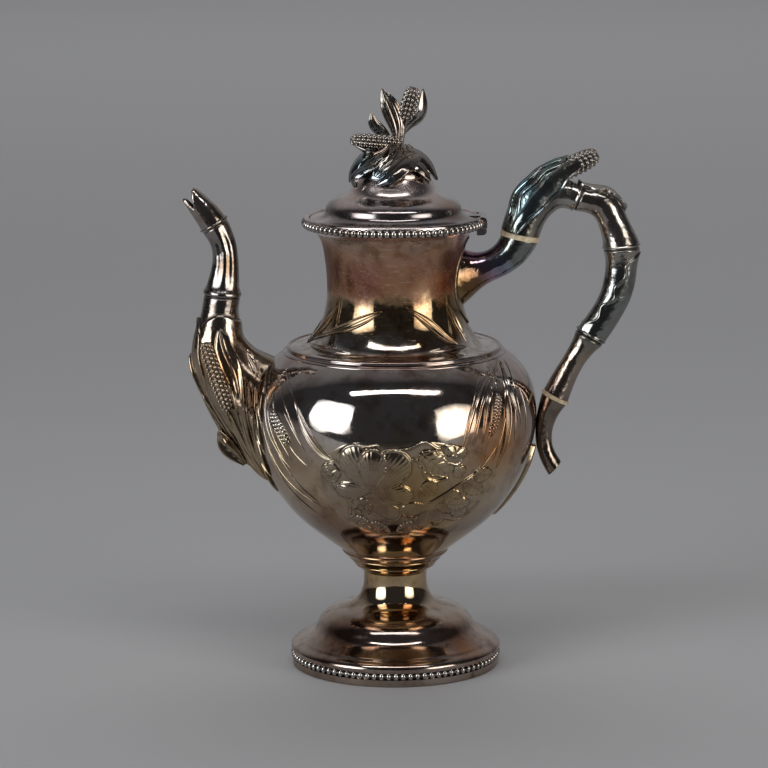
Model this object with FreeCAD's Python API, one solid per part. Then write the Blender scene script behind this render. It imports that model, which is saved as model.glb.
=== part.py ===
import FreeCAD, Part
import math
import os

from FreeCAD import Vector

# Driving dimensions, in millimetres. The origin is on the table under the middle of the foot,
# +Z is up, the spout points to -X and the handle to +X.
wall = 1.2
joint_gap = 0.3
total_height = 292.0
foot_radius = 52.5
stem_top = 47.6
bowl_floor = 58.6
bowl_radius = 71.3
shoulder_height = 161.4
neck_top = 220.6
seat_height = 226.4

# Foot
base_ring_height = 3.6
base_ring_inner = 47.0
base_ring_chamfer = 0.6
skirt_radius = 50.4
skirt_top = 7.0
foot_roll = [(52.4, skirt_top), (53.1, 8.5), (52.2, 10.7), (49.4, 12.3)]
foot_dome = [(48.8, 13.2), (44.0, 16.2), (40.4, 19.4), (38.4, 22.8), (34.0, 26.9), (26.2, 29.5),
             (20.0, 32.4), (17.0, 37.2), (15.9, 44.0), (16.1, stem_top)]

# Beaded wires: bead radius, bead count, ring radius, height and the flat back they are soldered by
solder_gap = 0.01
foot_beads = {"bead": 1.45, "count": 90, "ring": 51.6, "height": 5.3, "back": skirt_radius + solder_gap}
mouth_beads = {"bead": 1.4, "count": 80, "ring": 43.8, "height": 224.8, "back": 42.9}
bead_wire_core = 0.85

# Collar, bowl and neck
collar_outline = [(16.2, stem_top), (19.4, 50.6), (23.2, 54.6), (26.6, bowl_floor)]
collar_land = 1.6
bowl_foot_radius = 26.6
bowl_outline = [(27.0, 59.6), (39.2, 68.8), (48.8, 77.0), (57.6, 87.4), (64.8, 99.4), (69.4, 113.6),
                (bowl_radius, 127.0), (69.8, 141.4), (66.4, 149.2), (61.0, 155.8), (53.6, shoulder_height)]
shoulder_land = 2.6
neck_flange_radius = 52.4
neck_flange_inner = 44.0
neck_flange_height = 1.2
shoulder_wire_outline = [(53.6, shoulder_height), (53.4, 162.7), (neck_flange_radius, 163.2)]
neck_outline = [(50.6, 163.4), (43.6, 164.8), (38.9, 170.2), (36.0, 176.0), (33.5, 189.0), (33.4, 196.0),
                (34.8, 210.0), (37.2, 218.0), (39.2, neck_top)]
neck_top_land = 1.56

# Mouth rim and its roll
throat_radius = 37.2
roll_inner = 42.0
roll_radius = 1.25
roll_base = 226.5
roll_side = 0.6
rim_lip = [(43.6, 223.2), (42.8, 222.6), (41.0, 221.4), (39.4, neck_top)]

# Lid
flange_radius = 41.5
flange_edge = 0.8
lid_outline = [(41.2, 227.7), (36.8, 228.6), (34.3, 230.4), (33.4, 233.4), (31.6, 235.6), (26.0, 237.9),
               (22.4, 240.0), (20.4, 243.6), (18.4, 247.7), (12.6, 253.4), (6.0, 255.6)]
lid_wall = 1.1
bezel_outer = 36.2
bezel_wall = 1.0
bezel_depth = 7.2

# Hinge
hinge_x = 43.9
hinge_z = 226.0
knuckle_radius = 2.4
pin_radius = 1.0
pin_fixed_clearance = 0.02
pin_running_clearance = 0.05
hinge_half_length = 9.6
lid_knuckle_half = 3.9
bracket_inner_x = 41.2
bracket_outer_x = 46.0
bracket_bottom = 219.4
bracket_top = 223.2
bracket_round = 2.0
strap_reach = 8.0
strap_thickness = 1.4

# Spout sections from the bowl to the mouth: x, z, heading in degrees from +X to +Z,
# half height in the XZ plane and half width across
spout_root = [(-48.0, 121.0, 178, 28.0, 26.0), (-62.0, 126.4, 174, 29.4, 22.0),
              (-76.6, 140.4, 160, 21.4, 16.4), (-85.2, 152.8, 139, 16.6, 13.0),
              (-88.6, 163.4, 119, 14.0, 11.8), (-88.0, 172.0, 104, 11.6, 10.4),
              (-86.9, 181.0, 94, 9.4, 9.2), (-85.8, 187.7, 85, 9.0, 9.0)]
spout_cane = [(-85.8, 187.7, 85, 9.0, 9.0), (-85.2, 193.0, 84, 8.2, 8.2), (-83.9, 204.0, 90, 6.7, 6.7),
              (-84.8, 214.5, 103, 6.3, 6.3), (-89.7, 225.0, 121, 7.2, 7.2)]
spout_beak = [(-89.7, 225.0, 121, 7.2, 7.2), (-93.6, 230.6, 126, 6.6, 6.4), (-97.8, 235.2, 129, 5.8, 5.4),
              (-102.0, 239.2, 129, 5.0, 4.4)]
spout_wall = 1.6
beak_notch = (-96.6, 230.6)
beak_notch_heading = 132.0
beak_notch_half_angle = 17.0
beak_notch_reach = 30.0
strainer_hole_radius = 2.2
strainer_ring_radius = 7.0
strainer_height = 129.0
strainer_ring_holes = 6

# Handle sections in the same order of numbers
upper_ring = {"x": 63.0, "z": 217.8, "heading": 78.0, "radius": 10.0, "thickness": 2.5, "step": 0.6}
lower_ring = {"x": 80.7, "z": 136.1, "heading": -117.0, "radius": 7.3, "thickness": 1.9, "step": 0.5}
tenon_length = 5.0
upper_tenon_radius = 5.5
lower_tenon_radius = 3.6
tenon_clearance = 0.02
cross_pin_radius = 0.9
upper_socket_line = [(26.0, 196.0, 10, 17.5, 15.0), (34.0, 198.8, 12, 14.0, 12.0),
                     (42.7, 201.4, 18, 9.0, 8.8), (51.6, 204.6, 34, 7.8, 8.2), (59.0, 210.6, 56, 8.6, 8.6)]
grip_spans = [[(67.2, 228.6, 62, 9.2, 8.8), (73.4, 236.0, 40, 9.0, 8.4), (82.4, 239.2, 4, 7.8, 7.6),
               (92.6, 236.6, -24, 6.9, 6.9)],
              [(92.6, 236.6, -24, 6.9, 6.9), (103.0, 234.2, -38, 7.8, 7.6), (109.6, 223.4, -66, 7.6, 7.4),
               (113.4, 211.9, -84, 8.8, 8.6)],
              [(113.4, 211.9, -84, 8.8, 8.6), (113.4, 204.0, -92, 7.9, 7.8), (112.6, 196.0, -97, 7.7, 7.6),
               (110.2, 187.0, -110, 7.5, 7.4), (105.8, 178.4, -118, 7.3, 7.2), (98.4, 167.2, -120, 7.2, 7.0)],
              [(98.4, 167.2, -120, 7.2, 7.0), (92.0, 157.8, -121, 5.7, 5.7), (86.0, 147.4, -118, 5.9, 5.8)]]
lower_socket_line = [(76.8, 127.0, -104, 5.2, 5.1), (75.0, 117.0, -92, 4.2, 4.2),
                     (76.3, 108.0, -74, 4.1, 4.1), (80.6, 99.6, -42, 4.7, 4.6)]
socket_pad_radius = 4.4
socket_pad_height = 116.6

# Corn ears: outline as shares of the largest radius and of the length, then base, tip and largest radius
ear_outline = [(0.62, 0.0), (0.92, 0.16), (1.0, 0.42), (0.84, 0.74), (0.5, 0.94), (0.0, 1.0)]
spout_ear = {"base": (-81.4, 14.8, 127.5), "tip": (-94.0, 11.6, 167.0), "radius": 4.4}
handle_ear = {"base": (78.0, 0.0, 247.0), "tip": (101.4, 0.0, 258.6), "radius": 5.1}
lying_ear = {"base": (4.4, -1.0, 264.0), "tip": (-21.2, -2.0, 266.4), "radius": 3.75}
upright_ear = {"base": (5.7, 0.0, 275.6), "tip": (10.4, 0.0, total_height), "radius": 4.5}

# Finial fastening
stud_radius = 1.5
stud_hole_clearance = 0.1
stud_top = 259.0
stud_bottom = 246.0
washer_radius = 5.0
washer_thickness = 0.8
nut_across_flats = 6.0
nut_height = 3.0
boss_outline = [(9.6, 252.0), (7.0, 257.6), (5.0, 260.4), (4.6, 263.0)]
stalk_radius = 1.3
stalk_base = (3.2, 0.0, 261.0)

# Leaf blades: points of the midrib, the width at each, the way the face looks, how far the midrib
# stands up as a share of the width, and the thickness
tip_width = 0.8
upright_husk = {"path": [(6.0, 1.0, 272.6), (11.6, 1.6, 277.6), (14.2, 1.8, 284.0), (14.6, 1.6, 290.6)],
                "widths": [3.0, 7.0, 7.6, 2.0], "facing": (1, -0.7, 0), "crown": 0.14, "thickness": 1.5}
tall_leaf = {"path": [(1.6, -1.6, 262.6), (2.2, -1.6, 270.0), (0.0, -1.2, 279.0), (-3.0, -0.8, 286.0),
                      (-5.4, -0.4, 291.3)],
             "widths": [3.0, 6.5, 9.6, 7.0, tip_width], "facing": (0, -1, 0), "crown": 0.1, "thickness": 1.5}
small_leaf = {"path": [(-1.0, 2.6, 262.6), (-5.0, 2.4, 269.4), (-9.4, 2.0, 273.8), (-10.6, 1.6, 279.4)],
              "widths": [3.0, 5.0, 5.6, tip_width], "facing": (0, -1, 0), "crown": 0.1, "thickness": 1.5}
spout_leaf = {"path": [(-79.4, 0, 105.4), (-84.4, 0, 113.2), (-89.2, 0, 123.2), (-94.8, 0, 134.4),
                       (-100.0, 0, 148.0)],
              "widths": [tip_width, 8.0, 12.0, 12.0, 5.0], "facing": (-1, 0, -1), "crown": -0.15,
              "thickness": 3.0}
handle_husk = {"path": [(58.4, 0, 226.0), (62.6, 0, 237.6), (70.0, 0, 246.0), (79.6, 0, 252.2),
                        (89.0, 0, 258.6)],
               "widths": [8.0, 15.0, 15.0, 11.5, tip_width], "facing": (-1, 0, 1), "crown": -0.2,
               "thickness": 2.6}
bend_leaf = {"path": [(93.4, 0, 244.6), (100.6, 0, 243.4), (107.0, 0, 237.8), (111.0, 0, 231.0)],
             "widths": [4.0, 10.0, 9.0, tip_width], "facing": (1, 0, 1), "crown": -0.2, "thickness": 2.6}
leaf_mount = {"path": [(70.8, 0, 112.0), (67.4, 0, 101.6), (60.8, 0, 88.6), (50.8, 0, 76.0)],
              "widths": [6.0, 13.0, 12.0, tip_width], "facing": (1, 0, -0.4), "crown": -0.12,
              "thickness": 3.4}

# Draped leaves of the finial: direction round the pot in degrees, tip radius, tip height and width.
# They all spring from the boss, bend over a crest and fall to the tip past a belly, which lies at a
# share of the way out and down.
calyx_leaves = [(180, 21.8, 245.4, 11.0), (229, 23.4, 241.6, 11.5), (268, 23.6, 240.8, 14.0),
                (318, 23.0, 243.0, 12.0), (0, 23.0, 247.0, 11.0), (48, 23.0, 243.0, 12.0),
                (92, 23.4, 241.4, 13.0), (138, 23.2, 242.0, 12.0)]
calyx_spring = (3.0, 260.4)
calyx_crest = (8.4, 258.8)
calyx_belly_out = 0.68
calyx_belly_down = 0.45
calyx_width_shares = (0.4, 0.85, 1.0)
calyx_crown = 0.16
calyx_thickness = 1.5


def at(radius, height):
    return Vector(radius, 0, height)


def smooth(points):
    curve = Part.BSplineCurve()
    curve.interpolate(points)
    return curve


def inside(outline, thickness):
    """Points one wall thickness inside an outline that runs upwards or outwards."""
    curve = smooth([at(*point) for point in outline])
    points = []
    for radius, height in outline:
        along = curve.tangent(curve.parameter(at(radius, height)))[0]
        points.append((radius - thickness * along.z, height + thickness * along.x))
    return points


def spun(*stretches):
    """Solid of revolution. Each stretch is a line of two points or a smooth curve of more."""
    edges = []
    for index, stretch in enumerate(stretches):
        points = [at(*point) for point in stretch]
        if len(points) == 2:
            edges.append(Part.LineSegment(*points).toShape())
        else:
            edges.append(smooth(points).toShape())
        following = at(*stretches[(index + 1) % len(stretches)][0])
        if points[-1].distanceToPoint(following) > 1e-6:
            edges.append(Part.LineSegment(points[-1], following).toShape())
    face = Part.Face(Part.Wire(edges))
    return face.revolve(Vector(0, 0, 0), Vector(0, 0, 1), 360)


def heading_vector(heading):
    angle = math.radians(heading)
    return Vector(math.cos(angle), 0, math.sin(angle))


def oval(x, z, heading, half_height, half_width, points=7):
    """Closed oval square to a heading in the XZ plane, as two halves that meet in that plane."""
    along = heading_vector(heading)
    up = Vector(-along.z, 0, along.x)
    halves = []
    for side in (1, -1):
        across = Vector(0, side, 0)
        arc = []
        for step in range(points):
            angle = math.pi * step / (points - 1)
            offset = up * (side * half_height * math.cos(angle)) + across * (half_width * math.sin(angle))
            arc.append(at(x, z) + offset)
        curve = Part.BSplineCurve()
        curve.interpolate(arc, InitialTangent=across, FinalTangent=-across)
        halves.append(curve.toShape())
    return Part.Wire(halves)


def outward(solid):
    if solid.Volume < 0:
        solid.reverse()
    return solid


def limb(sections, inset=0.0):
    """Solid lofted through ovals, each drawn in by an inset."""
    wires = [oval(x, z, heading, high - inset, wide - inset) for x, z, heading, high, wide in sections]
    return outward(Part.makeLoft(wires, True, False))


def leaf(path, widths, facing, crown, thickness):
    """Pointed blade along a path: two-arc sections whose middle stands up by crown times the width."""
    points = [Vector(*point) for point in path]
    line = smooth(points)
    sections = []
    for point, width in zip(points, widths):
        along = line.tangent(line.parameter(point))[0]
        side = along.cross(Vector(*facing)).normalize()
        up = side.cross(along)
        left = point - side * (width / 2)
        right = point + side * (width / 2)
        top = point + up * (crown * width + thickness / 2)
        under = point + up * (crown * width - thickness / 2)
        upper = Part.Arc(left, top, right).toShape()
        lower = Part.Arc(right, under, left).toShape()
        sections.append(Part.Wire([upper, lower]))
    return outward(Part.makeLoft(sections, True, False))


def turned_to(solid, base, direction):
    """Moves a solid that stands on the origin along +Z to a base and a direction."""
    placed = solid.copy()
    placed.Placement = FreeCAD.Placement(base, FreeCAD.Rotation(Vector(0, 0, 1), direction))
    return placed


def corn_ear(base, tip, radius):
    """Ear of corn without its kernels: a rounded spindle with a flat base."""
    base = Vector(*base)
    axis = Vector(*tip) - base
    length = axis.Length
    outline = [(out * radius, up * length) for out, up in ear_outline]
    return turned_to(spun(outline, [(0, length), (0, 0)]), base, axis)


def rod(base, tip, radius):
    axis = tip - base
    return Part.makeCylinder(radius, axis.Length, base, axis)


def cross_rod(x, z, half_length, radius):
    """Rod along Y through a point of the XZ plane."""
    return Part.makeCylinder(radius, 2 * half_length, Vector(x, -half_length, z), Vector(0, 1, 0))


def block(x_low, x_high, half_width, z_low, z_high):
    return Part.makeBox(x_high - x_low, 2 * half_width, z_high - z_low, Vector(x_low, -half_width, z_low))


def beaded_wire(beads, gap_degrees=0.0):
    """Round wire with beads strung on it, flattened at the back. A gap may be left at the +X side."""
    ring, height, radius = beads["ring"], beads["height"], beads["bead"]
    pitch = 360.0 / beads["count"]
    wire = Part.makeTorus(ring, bead_wire_core, Vector(0, 0, height))
    spheres = []
    for index in range(beads["count"]):
        angle = (index + 0.5) * pitch
        if min(angle, 360 - angle) > gap_degrees:
            turn = math.radians(angle)
            center = Vector(ring * math.cos(turn), ring * math.sin(turn), height)
            spheres.append(Part.makeSphere(radius, center))
    core = Part.makeCylinder(beads["back"], 4 * radius, Vector(0, 0, height - 2 * radius))
    return wire.multiFuse(spheres).cut(core)


# Solids of the plain outer forms, used to fit castings against them
bowl_inside = inside(bowl_outline, wall)
bowl_inside[-1] = (bowl_outline[-1][0] - shoulder_land, shoulder_height)
bowl_full = spun([(0, bowl_floor), (bowl_foot_radius, bowl_floor)], bowl_outline,
                 [(0, shoulder_height), (0, bowl_floor)])
neck_full = spun([(0, shoulder_height), (neck_flange_radius, shoulder_height)],
                 [(neck_flange_radius, shoulder_height + neck_flange_height), neck_outline[0]],
                 neck_outline, [(0, neck_top), (0, shoulder_height)])
lid_full = spun([(0, seat_height + joint_gap), (flange_radius, seat_height + joint_gap)],
                [(flange_radius, seat_height + joint_gap + flange_edge), lid_outline[0]],
                lid_outline, [(0, lid_outline[-1][1]), (0, seat_height + joint_gap)])

pieces = {}


def make_foot():
    dome_inside = inside(foot_dome, wall)
    dome_inside[-1] = (foot_dome[-1][0] - wall, stem_top)
    skirt_inner = skirt_radius - wall
    pieces["foot_base_ring"] = spun([(base_ring_inner, 0), (foot_radius - base_ring_chamfer, 0)],
                                    [(foot_radius, base_ring_chamfer), (foot_radius, base_ring_height)],
                                    [(base_ring_inner, base_ring_height), (base_ring_inner, 0)])
    pieces["foot_pedestal"] = spun([(skirt_inner, base_ring_height), (skirt_radius, base_ring_height)],
                                   [(skirt_radius, skirt_top), foot_roll[0]],
                                   foot_roll, foot_dome, dome_inside[::-1],
                                   [(skirt_inner, dome_inside[0][1] - wall), (skirt_inner, base_ring_height)])
    pieces["foot_bead_wire"] = beaded_wire(foot_beads)


def make_vessel():
    collar_inside = inside(collar_outline, wall)
    collar_inside[0] = (collar_outline[0][0] - wall, stem_top)
    collar_inside[-1] = (collar_outline[-1][0] - collar_land, bowl_floor)
    pieces["stem_collar"] = spun(collar_outline, collar_inside[::-1])
    bowl = spun([(0, bowl_floor), (bowl_foot_radius, bowl_floor)], bowl_outline, bowl_inside[::-1],
                [(bowl_inside[0][0] - wall, bowl_floor + wall), (0, bowl_floor + wall)])
    for y, z in strainer_places():
        hole = Part.makeCylinder(strainer_hole_radius, bowl_radius, Vector(0, y, z), Vector(-1, 0, 0))
        bowl = bowl.cut(hole)
    pieces["bowl"] = bowl
    neck_inside = inside(neck_outline, wall)
    neck_inside[0] = (neck_flange_inner, shoulder_height)
    neck_inside[-1] = (neck_outline[-1][0] - neck_top_land, neck_top)
    pieces["neck"] = spun([(neck_flange_inner, shoulder_height), (neck_flange_radius, shoulder_height)],
                          [(neck_flange_radius, shoulder_height + neck_flange_height), neck_outline[0]],
                          neck_outline, neck_inside[::-1])
    wire_foot = (neck_flange_radius, shoulder_height)
    pieces["shoulder_wire"] = spun([wire_foot, shoulder_wire_outline[0]], shoulder_wire_outline)


def strainer_places():
    """Hole centres, as y and z: one in the middle and a ring round it."""
    places = [(0.0, strainer_height)]
    for step in range(strainer_ring_holes):
        angle = 2 * math.pi * step / strainer_ring_holes
        across = strainer_ring_radius * math.cos(angle)
        places.append((across, strainer_height + strainer_ring_radius * math.sin(angle)))
    return places


def make_mouth():
    roll_middle = roll_inner + roll_radius
    roll_side_top = roll_base + roll_side
    slant = roll_radius * math.sqrt(0.5)
    roll = [(roll_inner, roll_side_top), (roll_middle - slant, roll_side_top + slant),
            (roll_middle, roll_side_top + roll_radius), (roll_middle + slant, roll_side_top + slant),
            (roll_middle + roll_radius, roll_side_top)]
    back = mouth_beads["back"]
    rim = spun([(throat_radius, neck_top), (throat_radius, seat_height)],
               [(roll_inner, seat_height), roll[0]], roll,
               [(roll[-1][0], roll_base), (back, roll_base)], [(back, rim_lip[0][1]), rim_lip[0]],
               rim_lip, [rim_lip[-1], (throat_radius, neck_top)])
    hinge_room = block(bracket_inner_x, 2 * bracket_outer_x, hinge_half_length,
                       bracket_bottom, 2 * bracket_top)
    pieces["mouth_rim"] = rim.cut(hinge_room)
    gap_degrees = math.degrees(math.asin((hinge_half_length + mouth_beads["bead"]) / mouth_beads["ring"]))
    pieces["mouth_bead_wire"] = beaded_wire(mouth_beads, gap_degrees).cut(hinge_room)


def make_hinge():
    base = block(bracket_inner_x, bracket_outer_x, hinge_half_length, bracket_bottom, bracket_top)
    knuckle_length = hinge_half_length - lid_knuckle_half - joint_gap
    posts = []
    for low in (-hinge_half_length, lid_knuckle_half + joint_gap):
        end = Vector(hinge_x, low, hinge_z)
        barrel = Part.makeCylinder(knuckle_radius, knuckle_length, end, Vector(0, 1, 0))
        web = Part.makeBox(2 * knuckle_radius, knuckle_length, hinge_z - bracket_top,
                           Vector(hinge_x - knuckle_radius, low, bracket_top))
        posts += [barrel, web]
    lower_edges = [edge for edge in base.Edges if edge.BoundBox.ZMax < bracket_bottom + 1e-3
                   and edge.BoundBox.XMin > bracket_outer_x - 1e-3]
    base = base.makeFillet(bracket_round, lower_edges)
    bracket = base.multiFuse(posts).removeSplitter()
    fixed_bore = cross_rod(hinge_x, hinge_z, 2 * hinge_half_length, pin_radius + pin_fixed_clearance)
    bracket = bracket.cut(fixed_bore)
    pieces["hinge_bracket"] = bracket.cut(neck_full)
    pieces["hinge_pin"] = cross_rod(hinge_x, hinge_z, hinge_half_length, pin_radius)
    barrel = cross_rod(hinge_x, hinge_z, lid_knuckle_half, knuckle_radius)
    strap_top = hinge_z + knuckle_radius
    strap = block(hinge_x - strap_reach, hinge_x, lid_knuckle_half, strap_top - strap_thickness, strap_top)
    knuckle = barrel.fuse(strap).removeSplitter()
    running_bore = cross_rod(hinge_x, hinge_z, 2 * hinge_half_length, pin_radius + pin_running_clearance)
    knuckle = knuckle.cut(running_bore)
    pieces["lid_knuckle"] = knuckle.cut(lid_full)


def make_lid():
    flange_bottom = seat_height + joint_gap
    lid_inside = inside(lid_outline, lid_wall)
    dome_inside = [(bezel_outer - bezel_wall, flange_bottom)] + lid_inside[2:]
    stud_hole = stud_radius + stud_hole_clearance
    dome = spun([(dome_inside[0][0], flange_bottom), (flange_radius, flange_bottom)],
                [(flange_radius, flange_bottom + flange_edge), lid_outline[0]],
                lid_outline, [(stud_hole, lid_outline[-1][1]), (stud_hole, dome_inside[-1][1])],
                dome_inside[::-1])
    pieces["lid_dome"] = dome
    bezel_inner = bezel_outer - bezel_wall
    bezel_bottom = flange_bottom - bezel_depth
    pieces["lid_bezel"] = spun([(bezel_inner, bezel_bottom), (bezel_outer, bezel_bottom)],
                               [(bezel_outer, flange_bottom), (bezel_inner, flange_bottom)])


def round_the_pot(direction, radius, height):
    angle = math.radians(direction)
    return Vector(radius * math.cos(angle), radius * math.sin(angle), height)


def make_finial():
    ceiling = lid_outline[-1][1] - lid_wall
    boss = spun([(0, boss_outline[0][1]), boss_outline[0]], boss_outline,
                [(0, boss_outline[-1][1]), (0, boss_outline[0][1])])
    blades = []
    for direction, tip_radius, tip_height, width in calyx_leaves:
        belly_radius = calyx_belly_out * tip_radius
        belly_height = calyx_crest[1] - calyx_belly_down * (calyx_crest[1] - tip_height)
        profile = [calyx_spring, calyx_crest, (belly_radius, belly_height), (tip_radius, tip_height)]
        path = [round_the_pot(direction, *point) for point in profile]
        widths = [share * width for share in calyx_width_shares] + [tip_width]
        blades.append(leaf(path, widths, (0, 0, 1), calyx_crown, calyx_thickness))
    stud = rod(at(0, stud_bottom), at(0, stud_top), stud_radius)
    pieces["finial_calyx"] = boss.multiFuse(blades).cut(lid_full).cut(stud)
    pieces["finial_stud"] = stud
    washer_bottom = ceiling - washer_thickness
    nut_bottom = washer_bottom - nut_height
    bore = rod(at(0, stud_bottom), at(0, stud_top), stud_radius + pin_fixed_clearance)
    washer = Part.makeCylinder(washer_radius, washer_thickness, Vector(0, 0, washer_bottom))
    pieces["finial_washer"] = washer.cut(bore)
    corner = nut_across_flats / math.sqrt(3)
    hexagon = [round_the_pot(60 * side, corner, nut_bottom) for side in range(7)]
    nut = Part.Face(Part.makePolygon(hexagon)).extrude(Vector(0, 0, nut_height))
    pieces["finial_nut"] = nut.cut(bore)
    calyx = pieces["finial_calyx"]
    stalk = rod(Vector(*stalk_base), Vector(*upright_ear["base"]), stalk_radius)
    upright = corn_ear(**upright_ear).multiFuse([stalk, leaf(**upright_husk)]).cut(calyx)
    lying = corn_ear(**lying_ear).cut(calyx).cut(upright)
    pieces["finial_upright_ear"] = upright
    pieces["finial_lying_ear"] = lying
    pieces["finial_tall_leaf"] = leaf(**tall_leaf).cut(calyx).cut(lying).cut(upright)
    pieces["finial_small_leaf"] = leaf(**small_leaf).cut(calyx).cut(lying)


def hollow(sections):
    return limb(sections).cut(limb(sections, spout_wall))


def make_spout():
    root = limb(spout_root)
    pieces["spout_base"] = root.cut(bowl_full).cut(limb(spout_root, spout_wall))
    ears = []
    for side in (-1, 1):
        base, tip = [(x, side * y, z) for x, y, z in (spout_ear["base"], spout_ear["tip"])]
        ears.append(corn_ear(base, tip, spout_ear["radius"]).cut(root).cut(bowl_full))
    pieces["spout_ears"] = Part.makeCompound(ears)
    pieces["spout_leaf"] = leaf(**spout_leaf).cut(root).cut(bowl_full)
    pieces["spout_stalk"] = hollow(spout_cane)
    beak = hollow(spout_beak)
    vertex = at(*beak_notch)
    corners = [vertex]
    for turn in (-beak_notch_half_angle, beak_notch_half_angle):
        corners.append(vertex + heading_vector(beak_notch_heading + turn) * beak_notch_reach)
    corners.append(vertex)
    notch = Part.Face(Part.makePolygon(corners)).extrude(Vector(0, beak_notch_reach, 0))
    notch.translate(Vector(0, -beak_notch_reach / 2, 0))
    pieces["spout_lip"] = beak.cut(notch)


def insulator(ring, tenon_radius):
    along = heading_vector(ring["heading"])
    middle = at(ring["x"], ring["z"])
    half = ring["thickness"] / 2
    disc = Part.makeCylinder(ring["radius"], ring["thickness"], middle - along * half, along)
    reach = half + tenon_length
    tenons = Part.makeCylinder(tenon_radius, 2 * reach, middle - along * reach, along)
    return disc.fuse(tenons).removeSplitter()


def ring_face(ring, sign):
    """Oval station of a casting where it meets one face of an insulator ring."""
    radius = ring["radius"] - ring["step"]
    center = at(ring["x"], ring["z"]) + heading_vector(ring["heading"]) * (sign * ring["thickness"] / 2)
    return (center.x, center.z, ring["heading"], radius, radius)


def cross_pins(ring):
    """Places of the two pins, one on each side of an insulator ring."""
    offset = heading_vector(ring["heading"]) * (ring["thickness"] / 2 + tenon_length / 2)
    middle = at(ring["x"], ring["z"])
    return [middle - offset, middle + offset]


def make_handle():
    upper = insulator(upper_ring, upper_tenon_radius)
    lower = insulator(lower_ring, lower_tenon_radius)
    upper_fit = insulator(upper_ring, upper_tenon_radius + tenon_clearance)
    lower_fit = insulator(lower_ring, lower_tenon_radius + tenon_clearance)
    pins = []
    for ring in (upper_ring, lower_ring):
        for place in cross_pins(ring):
            pins.append(cross_rod(place.x, place.z, ring["radius"], cross_pin_radius))
    upper_socket = limb(upper_socket_line + [ring_face(upper_ring, -1)])
    grip_line = [list(span) for span in grip_spans]
    grip_line[0].insert(0, ring_face(upper_ring, 1))
    grip_line[-1].append(ring_face(lower_ring, -1))
    spans = [limb(span) for span in grip_line]
    grip = spans[0].multiFuse(spans[1:])
    lower_socket = limb([ring_face(lower_ring, 1)] + lower_socket_line)
    pad = rod(at(0, socket_pad_height), at(lower_socket_line[1][0], socket_pad_height), socket_pad_radius)
    lower_socket = lower_socket.fuse(pad).cut(bowl_full)
    castings = {"handle_upper_socket": upper_socket.cut(neck_full).cut(upper_fit),
                "handle_grip": grip.cut(upper_fit).cut(lower_fit),
                "handle_lower_socket": lower_socket.cut(lower_fit),
                "handle_upper_insulator": upper,
                "handle_lower_insulator": lower}
    for name, casting in castings.items():
        pieces[name] = casting.cut(pins)
    bodies = upper_socket.multiFuse([grip, lower_socket, upper, lower])
    pieces["handle_pins"] = Part.makeCompound([pin.common(bodies) for pin in pins])
    ear = corn_ear(**handle_ear).cut(grip)
    pieces["handle_ear"] = ear
    pieces["handle_husk"] = leaf(**handle_husk).cut(grip).cut(ear)
    pieces["handle_bend_leaf"] = leaf(**bend_leaf).cut(grip).cut(ear)
    pieces["handle_leaf_mount"] = leaf(**leaf_mount).cut(bowl_full).cut(pieces["handle_lower_socket"])


make_foot()
make_vessel()
make_mouth()
make_hinge()
make_lid()
make_finial()
make_spout()
make_handle()

os.makedirs("parts", exist_ok=True)
for name, shape in pieces.items():
    state = "valid" if shape.isValid() else "INVALID"
    print(name, state, len(shape.Solids), "solids", round(shape.Volume, 1), "mm3")
    shape.exportStep(f"parts/{name}.step")
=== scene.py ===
import bmesh
import bpy
import math
import numpy as np
from mathutils import Matrix, Vector
from types import SimpleNamespace


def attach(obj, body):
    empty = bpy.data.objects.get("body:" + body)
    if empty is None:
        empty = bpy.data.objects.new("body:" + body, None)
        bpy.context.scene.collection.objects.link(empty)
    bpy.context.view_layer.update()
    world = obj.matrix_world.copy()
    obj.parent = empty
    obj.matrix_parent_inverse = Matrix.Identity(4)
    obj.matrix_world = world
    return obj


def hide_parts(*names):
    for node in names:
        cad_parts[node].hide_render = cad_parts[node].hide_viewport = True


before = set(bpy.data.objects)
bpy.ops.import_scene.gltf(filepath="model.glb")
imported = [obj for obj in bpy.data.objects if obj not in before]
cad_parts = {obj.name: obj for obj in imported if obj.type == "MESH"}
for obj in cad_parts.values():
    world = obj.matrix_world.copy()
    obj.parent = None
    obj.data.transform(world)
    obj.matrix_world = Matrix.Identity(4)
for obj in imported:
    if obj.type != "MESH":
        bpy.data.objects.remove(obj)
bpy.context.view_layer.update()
mm = 0.001          # every size below is in millimetres, as in the solids
weldGap = 2e-6      # corners closer than this, in metres, become one
same = 1e-3         # profile points closer than this are one point
print("frame loaded:", len(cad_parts), "nodes")


# Curves and numbers

def curveThrough(points, count, spaceDims=3):
    # natural cubic through the points on chord length, read at even steps of length;
    # columns after spaceDims ride along
    p = np.asarray(points, float)
    step = np.linalg.norm(np.diff(p[:, :spaceDims], axis=0), axis=1)
    t = np.concatenate([[0.0], np.cumsum(step)])
    n = len(t)
    system = np.eye(n)
    bend = np.zeros_like(p)
    mid = np.arange(1, n - 1)
    system[mid, mid - 1] = step[:-1]
    system[mid, mid] = 2 * (step[:-1] + step[1:])
    system[mid, mid + 1] = step[1:]
    bend[1:-1] = 6 * np.diff(np.diff(p, axis=0) / step[:, None], axis=0)
    curl = np.linalg.solve(system, bend)
    fine = np.linspace(0, t[-1], 32 * n)           # 32 short chords for each point
    k = np.clip(np.searchsorted(t, fine, "right") - 1, 0, n - 2)
    b = ((fine - t[k]) / step[k])[:, None]
    a = 1 - b
    square = (step[k] ** 2)[:, None] / 6
    dense = a * p[k] + b * p[k + 1] + ((a ** 3 - a) * curl[k] + (b ** 3 - b) * curl[k + 1]) * square
    run = lengthOf(dense[:, :spaceDims])
    at = np.linspace(0, run[-1], count)
    return np.stack([np.interp(at, run, dense[:, j]) for j in range(p.shape[1])], 1)


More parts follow.
